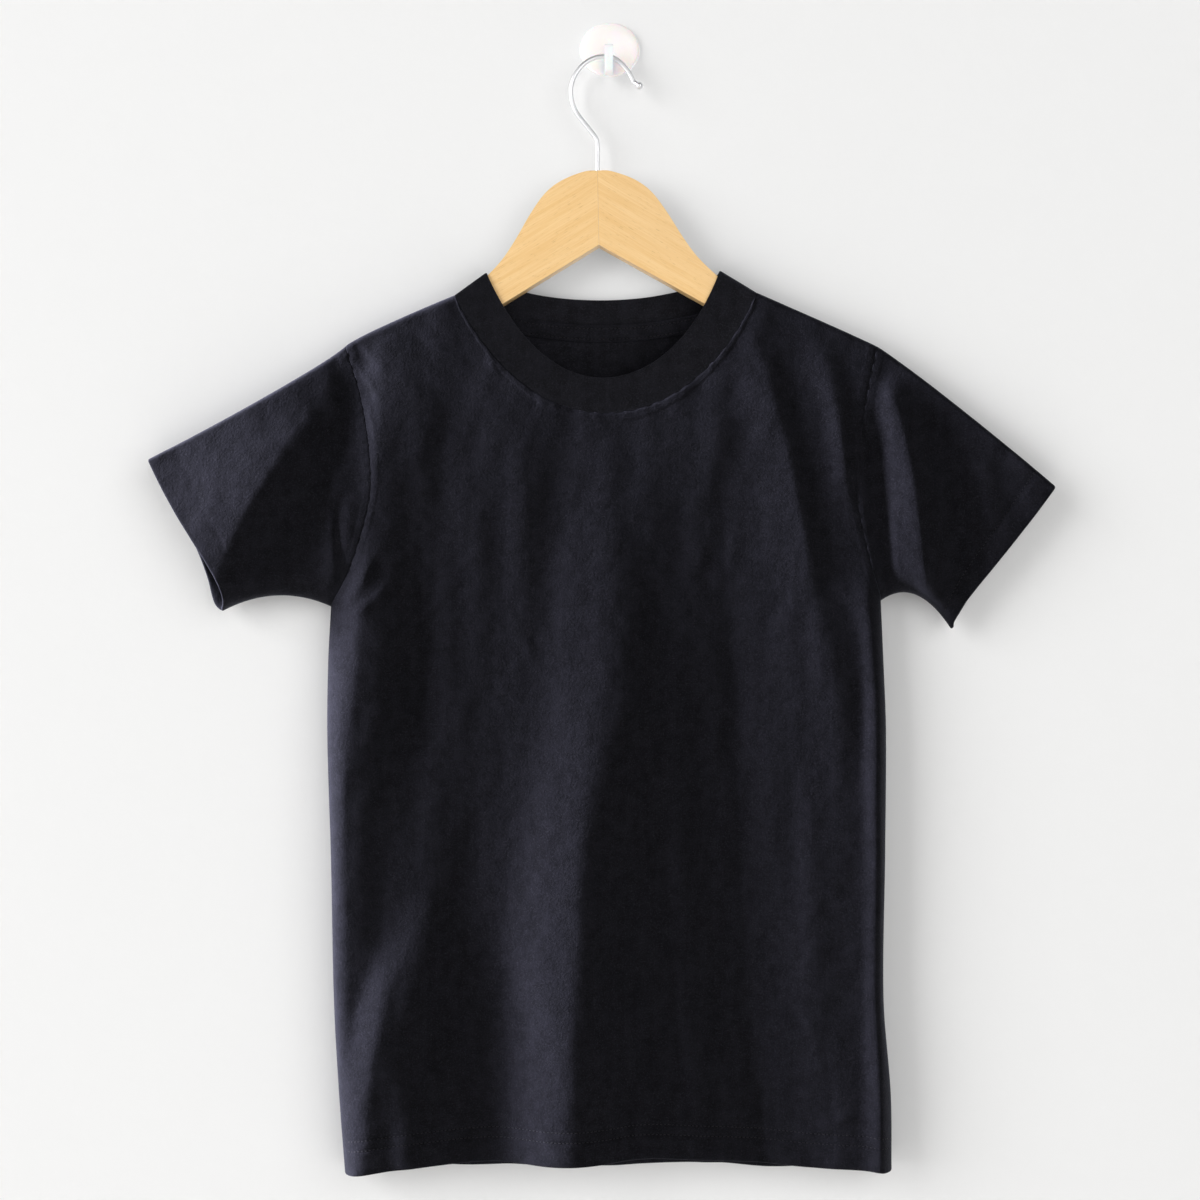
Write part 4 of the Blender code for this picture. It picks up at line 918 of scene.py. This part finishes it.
def sew(name, tree, rows, shift, size, material):
    """One piece of stitches on the rows, its nodes run and turned into a plain mesh."""
    verts, outward, edges = [], [], []
    for places, directions in rows:
        start = len(verts)
        verts += [tuple(place) for place in places]
        outward += [tuple(direction) for direction in directions]
        edges += [(start + step, start + step + 1) for step in range(len(places) - 1)]
    mesh = bpy.data.meshes.new(name + "_rows")
    mesh.from_pydata(verts, edges, [])
    mesh.attributes.new("outward", "FLOAT_VECTOR", "POINT")
    mesh.attributes["outward"].data.foreach_set("vector", np.array(outward, np.float32).ravel())
    item = in_scene(name, mesh)
    run = item.modifiers.new("stitches", "NODES")
    run.node_group = tree
    values = {"Pitch": STITCH, "Shift": shift, "Size": size, "Material": material}
    for socket in tree.interface.items_tree:
        if socket.in_out == "INPUT" and socket.name in values:
            run[socket.identifier] = values[socket.name]
    item.data = plain_mesh(item)
    item.modifiers.clear()
    item.data.shade_smooth()
    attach(item, "root")


tree = stitch_tree()
sew("hem_thread", tree, stitch_rows, (0.0, 0.0, THREAD_RISE), THREAD_SIZE, thread)
# painted shade of the needle holes, set half a stitch along from each thread
sew("painted_hole_shades", tree, stitch_rows, (STITCH / 2, 0.0, 0.0), HOLE_SIZE, painted_hole_shade)

# ------------------------------------------------------------------------------ hanger arms
# Two arms of pale hardwood, sawn from 13 mm board with eased edges and glued together in a mitre on
# the middle line, the grain running down each arm, under clear satin lacquer.
HANGER_TOP = -0.0064 - 0.0724j
HANGER_THICKNESS, HANGER_EDGE, MITRE_CUT = 13 * MM, 2.0 * MM, 0.1 * MM
HANGER_TILT = radians(1.2)
GRAIN_TILT = radians(31)
# Outline of the right arm below that top, each point (across, down) in millimetres.
HANGER_UPPER = ((0, 0), (8, 0.4), (21.8, 5.5), (32, 13), (41, 25), (51, 41.4), (60, 54), (72, 66),
                (79, 71.6), (95, 80), (124, 93.4), (143, 101.4), (149, 105))
HANGER_LOWER = ((150.5, 109), (145, 114.6), (124, 110.2), (95, 98.6), (66.7, 84), (0, 45))


def smooth_points(rows, steps):
    """Points between rows of (across, down), on a curve through them."""
    made = []
    for index in range(len(rows) - 1):
        near = [Vector(rows[min(max(index + k, 0), len(rows) - 1)]) for k in (-1, 0, 1, 2)]
        for step in range(steps):
            u = step / steps
            bend = (near[2] - near[0]) / 2 * u * (1 - u) ** 2 - (near[3] - near[1]) / 2 * u * u * (1 - u)
            made.append(near[1] + (near[2] - near[1]) * u * u * (3 - 2 * u) + bend)
    return made + [Vector(rows[-1])]


def cut_blank(name, outline, thickness, ease, segments):
    """Mesh of a flat shape with eased edges, from its outline in millimetres in its own XY plane."""
    curve = bpy.data.curves.new(name, "CURVE")
    curve.dimensions = "2D"
    curve.fill_mode = "BOTH"
    curve.extrude = thickness / 2
    spline = curve.splines.new("POLY")
    spline.points.add(len(outline) - 1)
    for spot, place in zip(spline.points, outline):
        spot.co = (place[0] * MM, place[1] * MM, 0.0, 1.0)
    spline.use_cyclic_u = True
    blank = in_scene(name, curve)
    weld = blank.modifiers.new("weld", "WELD")
    weld.merge_threshold = 0.00002
    eased = blank.modifiers.new("ease", "BEVEL")
    eased.width = ease
    eased.segments = segments
    eased.limit_method = "ANGLE"
    eased.angle_limit = radians(50)
    mesh = plain_mesh(blank)
    bpy.data.objects.remove(blank)
    return mesh


def wood_material():
    """Pale hardwood whose grain runs out along each arm, lined and pored, under satin lacquer."""
    material, tree, shader = new_material("lacquered_wood", 0.46, Coat_Weight=0.25, Coat_Roughness=0.22,
                                          Specular_IOR_Level=0.4)
    split = add_node(tree, "ShaderNodeSeparateXYZ", {0: object_place(tree)}).outputs
    across = calc(tree, "SUBTRACT", split[0], HANGER_TOP.real)
    out = calc(tree, "ABSOLUTE", across)
    hand = calc(tree, "SIGN", across)
    along = calc(tree, "SUBTRACT", calc(tree, "MULTIPLY", out, cos(GRAIN_TILT)),
                 calc(tree, "MULTIPLY", split[2], sin(GRAIN_TILT)))
    over = calc(tree, "ADD", calc(tree, "MULTIPLY", out, sin(GRAIN_TILT)),
                calc(tree, "MULTIPLY", split[2], cos(GRAIN_TILT)))
    # each arm comes from another part of the board
    over = calc(tree, "ADD", over, calc(tree, "MULTIPLY", hand, 0.37))

    def grain(length, width, depth, detail):
        """Noise drawn out along the grain, its cells of the given length, width and depth."""
        cell = add_node(tree, "ShaderNodeCombineXYZ", {
            0: calc(tree, "DIVIDE", along, length), 1: calc(tree, "DIVIDE", over, width),
            2: calc(tree, "DIVIDE", split[1], depth)})
        return noise(tree, cell.outputs[0], 1.0, detail)

    rings = grain(120 * MM, 5 * MM, 9 * MM, 3.0)
    lines = grain(26 * MM, 0.8 * MM, 3 * MM, 4.0)
    pores = grain(5 * MM, 0.5 * MM, 0.8 * MM, 2.0)
    tone = calc(tree, "ADD", calc(tree, "MULTIPLY", rings, 0.45), calc(tree, "MULTIPLY", lines, 0.55))
    board = blend(tree, remap(tree, tone, 0.38, 0.62), (0.84, 0.53, 0.220), (0.91, 0.62, 0.295))
    flecked = blend(tree, remap(tree, pores, 0.62, 0.74, end=0.50), board, (0.50, 0.27, 0.09))
    tree.links.new(flecked, shader.inputs["Base Color"])
    tree.links.new(relief(tree, lines, 0.15, 0.1 * MM), shader.inputs["Normal"])
    return material


wood = wood_material()
half = smooth_points(HANGER_UPPER, 8) + smooth_points(HANGER_LOWER[:-1], 6) + [Vector(HANGER_LOWER[-1])]
for name, hand in (("left", LEFT), ("right", RIGHT)):
    outline = [(hand * across, -down) for across, down in half]
    outline += [(-hand * across, -down) for across, down in reversed(half[1:-1])]
    board = cut_blank(name + "_arm_board", outline, HANGER_THICKNESS, HANGER_EDGE, 4)
    place = Matrix.Translation((HANGER_TOP.real, -HANG_DEPTH, HANGER_TOP.imag))
    place = place @ Matrix.Rotation(-HANGER_TILT, 4, "Y") @ Matrix.Rotation(pi / 2, 4, "X")
    with reworking(board) as build:
        cut = bmesh.ops.bisect_plane(
            build, geom=[*build.verts, *build.edges, *build.faces], dist=1e-6, clear_outer=True,
            plane_co=(hand * MITRE_CUT / 2, 0.0, 0.0), plane_no=(-hand, 0.0, 0.0))
        rim = [part for part in cut["geom_cut"] if isinstance(part, bmesh.types.BMEdge)]
        bmesh.ops.contextual_create(build, geom=rim)
        build.transform(place)
        bmesh.ops.recalc_face_normals(build, faces=build.faces)
    board.materials.clear()
    board.materials.append(wood)
    board.shade_smooth()
    board.set_sharp_from_angle(angle=radians(40))
    arm = in_scene(name + "_arm_wood", board)
    arm.visible_diffuse = False             # or its glow would turn the black neckband yellow
    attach(arm, "root")
    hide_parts("hanger_arm_" + name)

# ------------------------------------------------------------------------------ hook wire
# One length of 3 mm plated steel wire, bent cold into a crank and a bow, its free end upset into a
# ball; the straight shank is driven into a hole in the wood.
WIRE_RADIUS, BALL_RADIUS = 1.5 * MM, 2.4 * MM
BALL_CENTRE = 0.0191 - 0.0194j
SHANK = ((-6.4, -83.6), (-6.4, -64.0), (-6.4, -56.0), (-7.4, -51.4), (-12.0, -45.2), (-17.6, -38.2))
BOW = ((-20.6, -33.0), (-22.3, -27.0), (-22.5, -21.0), (-21.2, -15.4), (-18.5, -10.4), (-14.4, -5.9),
       (-8.9, -2.7), (-2.6, -1.5), (3.4, -2.5), (8.4, -6.1), (12.6, -11.2), (15.5, -16.8))
WIRE_SIDES = 20

plating, tree, shader = new_material("plated_wire", 0.3, Base_Color=(0.88, 0.885, 0.90, 1.0), Metallic=1.0)
rubbed = noise(tree, object_place(tree), 900.0, 2.0)
tree.links.new(remap(tree, rubbed, 0.0, 1.0, 0.24, 0.42), shader.inputs["Roughness"])

# The wire's middle line and its radius along it, which ends in the ball.
path = np.array([complex(*spot) * MM for spot in smooth_points(SHANK + BOW, 7)])
radii = np.full(len(path), WIRE_RADIUS)
aim = (BALL_CENTRE - path[-1]) / abs(BALL_CENTRE - path[-1])
shares = np.sin(np.linspace(-0.95, pi / 2, 14))
path = np.concatenate([path, BALL_CENTRE + aim * BALL_RADIUS * shares])
radii = np.concatenate([radii, BALL_RADIUS * np.sqrt(1.0001 - shares * shares)])
sideways = np.gradient(path)
sideways = 1j * sideways / np.abs(sideways)
turns = np.linspace(0, 2 * pi, WIRE_SIDES, endpoint=False)
rings = path[:, None] + sideways[:, None] * radii[:, None] * np.cos(turns)
depth = -HANG_DEPTH + radii[:, None] * np.sin(turns)
grid = np.stack([rings.real, depth, rings.imag], axis=-1)
wire = sew_mesh("hook_wire_steel", grid, np.zeros(grid.shape[:2] + (2,)), True, False, plating)
with reworking(wire.data) as build:
    bmesh.ops.holes_fill(build, edges=build.edges)
    bmesh.ops.recalc_face_normals(build, faces=build.faces)
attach(wire, "root")
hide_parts("hook_wire")

# ------------------------------------------------------------------------------ wall hook
# One moulding in glossy white plastic: a low domed oval plate, stuck to the wall by its back, and a
# narrow peg that turns up in front of the wire.
PLATE_MIDDLE = Vector((1.0, 0.0, 5.4)) * MM
PLATE_HALF_WIDTH, PLATE_HALF_HEIGHT = 18.4 * MM, 16.5 * MM
PLATE_RIM, PLATE_DOME = 1.6 * MM, 4.4 * MM
PEG_WIDTH, PEG_MIDDLE = 5.2 * MM, 0.5 * MM
# The peg's side view, each point (out from the wall, up) in millimetres, with the wire's round seat.
SEAT_RADIUS, SEAT_DROP = 1.9, 1.0
PEG_BELOW = ((1, -9), (6, -11.9), (11, -12.1), (14.5, -10.2), (16.3, -6), (16.7, -1.5), (16.7, 3.4),
             (15.9, 4.8), (14.9, 5), (14, 4))
PEG_BEHIND = ((7.5, -1.2), (1.0, 1.0))

plastic, tree, shader = new_material("white_plastic", 0.2, Base_Color=(0.97, 0.976, 1.0, 1.0),
                                     Subsurface_Weight=0.5, Subsurface_Scale=0.012,
                                     Coat_Weight=0.3, Coat_Roughness=0.08)
ripple = noise(tree, object_place(tree), 160.0, 1.0)
tree.links.new(relief(tree, ripple, 0.1, 0.1 * MM), shader.inputs["Normal"])

# The plate is an oval ring at each height: its rounded rim, then the dome over it.
turns = np.linspace(0, 2 * pi, 96, endpoint=False)
lifts = np.linspace(0, pi / 2, 15)
rim = np.array([(1.0, 0.0), (1.0, 0.5), (0.996, 0.8)])
sizes = np.concatenate([[0.98], rim[:, 0], 0.985 * np.cos(lifts[:-1]), [0.0005]])
heights = np.concatenate([[0.0], 0.15 * MM + rim[:, 1] * PLATE_RIM,
                          PLATE_RIM + (PLATE_DOME - PLATE_RIM) * np.sin(lifts)])
oval = np.stack([PLATE_HALF_WIDTH * np.cos(turns), 0 * turns, PLATE_HALF_HEIGHT * np.sin(turns)], axis=-1)
grid = oval * sizes[:, None, None] - np.array([0, 1, 0]) * heights[:, None, None]
grid = grid + np.array(PLATE_MIDDLE)
plate = sew_mesh("wall_hook_plastic", grid, np.zeros(grid.shape[:2] + (2,)), True, False, plastic)
seat_up = max(up for across, up in BOW) - SEAT_DROP
seat = [(HANG_DEPTH / MM + SEAT_RADIUS * cos(turn), seat_up - SEAT_RADIUS * sin(turn))
        for turn in np.linspace(0, pi, 13)]
peg = [*smooth_points(PEG_BELOW, 5), *seat, *PEG_BEHIND]
peg_mesh = cut_blank("peg_blank", [(-out, up) for out, up in peg], PEG_WIDTH, 0.7 * MM, 3)
side_on = Matrix.Rotation(pi / 2, 4, "Z") @ Matrix.Rotation(pi / 2, 4, "X")
peg_mesh.transform(Matrix.Translation((PEG_MIDDLE, 0.0, 0.0)) @ side_on)
with reworking(plate.data) as build:
    bmesh.ops.holes_fill(build, edges=build.edges)
    build.from_mesh(peg_mesh)
    bmesh.ops.recalc_face_normals(build, faces=build.faces)
plate.data.shade_smooth()
plate.data.set_sharp_from_angle(angle=radians(50))
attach(plate, "root")
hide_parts("wall_hook")

# ------------------------------------------------------------------------------ studio
# A pale painted wall, which the hook is stuck to, and a plain pale floor far below it.  A window
# light that grazes the wall from the left draws the folds; wide, weak lights fill in the rest.
camera_data = bpy.data.cameras.new("camera")
camera_data.lens = 64.35
camera_data.sensor_width = 36.0
camera = in_scene("camera", camera_data)
camera.location = (-0.00485, -1.32, -0.333)
camera.rotation_euler = (pi / 2, 0.0, 0.0)
bpy.context.scene.camera = camera


def flat_stage(name, corners, color):
    """One flat square of the stage, with the tree and shader of its paint."""
    mesh = bpy.data.meshes.new(name)
    mesh.from_pydata(corners, [], [(0, 1, 2, 3)])
    material, tree, shader = new_material(name, 0.9, Base_Color=(*color, 1.0))
    mesh.materials.append(material)
    item = in_scene(name, mesh)
    item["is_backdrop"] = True
    return item, tree, shader


wall, tree, shader = flat_stage(
    "pale_wall", [(-4, 0.0004, -1.5), (4, 0.0004, -1.5), (4, 0.0004, 2.5), (-4, 0.0004, 2.5)],
    (0.857, 0.857, 0.854))
paint = noise(tree, object_place(tree), 260.0, 3.0)
tree.links.new(relief(tree, paint, 0.25, 0.3 * MM), shader.inputs["Normal"])
# The wall is clear from behind and lets light through, so that the shirt's back can be looked at.
wall.visible_shadow = False
clear = add_node(tree, "ShaderNodeBsdfTransparent")
side = add_node(tree, "ShaderNodeNewGeometry")
one_way = add_node(tree, "ShaderNodeMixShader", {0: side.outputs["Backfacing"], 1: shader.outputs[0],
                                                 2: clear.outputs[0]})
tree.links.new(one_way.outputs[0], tree.nodes["Material Output"].inputs["Surface"])
floor = flat_stage(
    "pale_floor", [(-4, -5, -1.5), (4, -5, -1.5), (4, 5, -1.5), (-4, 5, -1.5)], (0.82, 0.81, 0.80))[0]

SHIRT_MIDDLE = Vector((0.0, -0.02, -0.38))


def soft_light(name, place, width, height, power, color=(1.0, 1.0, 1.0)):
    """A lit rectangle that faces the middle of the shirt."""
    data = bpy.data.lights.new(name, "AREA")
    data.shape = "RECTANGLE"
    data.size = width
    data.size_y = height
    data.energy = power
    data.color = color
    lamp = in_scene(name, data)
    lamp.location = place
    lamp.rotation_euler = (SHIRT_MIDDLE - Vector(place)).to_track_quat("-Z", "Y").to_euler()
    return lamp


window = soft_light("window", (-2.3, -0.155, 0.45), 0.5, 1.2, 305.0, (0.97, 0.968, 1.14))
room = soft_light("room", (-3.8, -2.7, 0.7), 3.6, 3.6, 168.0)
front = soft_light("front", (1.6, -2.8, 0.2), 3.0, 3.0, 43.0)
soft_light("behind", (0.6, 2.2, 0.4), 1.6, 1.6, 36.0)

# The window light falls on the cloth alone, the room's on all the rest, and the front light on
# what the window can't reach, so that neither the wall nor the hook is washed out.
cloth_lit = bpy.data.collections.new("cloth_lit")
others_lit = bpy.data.collections.new("others_lit")
front_lit = bpy.data.collections.new("front_lit")
window.light_linking.receiver_collection = cloth_lit
room.light_linking.receiver_collection = others_lit
front.light_linking.receiver_collection = front_lit
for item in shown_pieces():
    hanging = item.name in ("left_arm_wood", "right_arm_wood", "hook_wire_steel", "wall_hook_plastic")
    if hanging:
        others_lit.objects.link(item)
    elif item.name != "neckband_rib":
        cloth_lit.objects.link(item)
    if hanging or item.name in ("back_body", "neck_tape_jersey", "neckband_rib"):
        front_lit.objects.link(item)
for item in (wall, floor):
    others_lit.objects.link(item)
    front_lit.objects.link(item)

world = bpy.data.worlds.new("studio")
world.use_nodes = True
bpy.context.scene.world = world
background = world.node_tree.nodes["Background"]
background.inputs["Color"].default_value = (1.0, 1.0, 1.0, 1.0)
background.inputs["Strength"].default_value = 0.20
bpy.context.scene.view_settings.view_transform = "Standard"
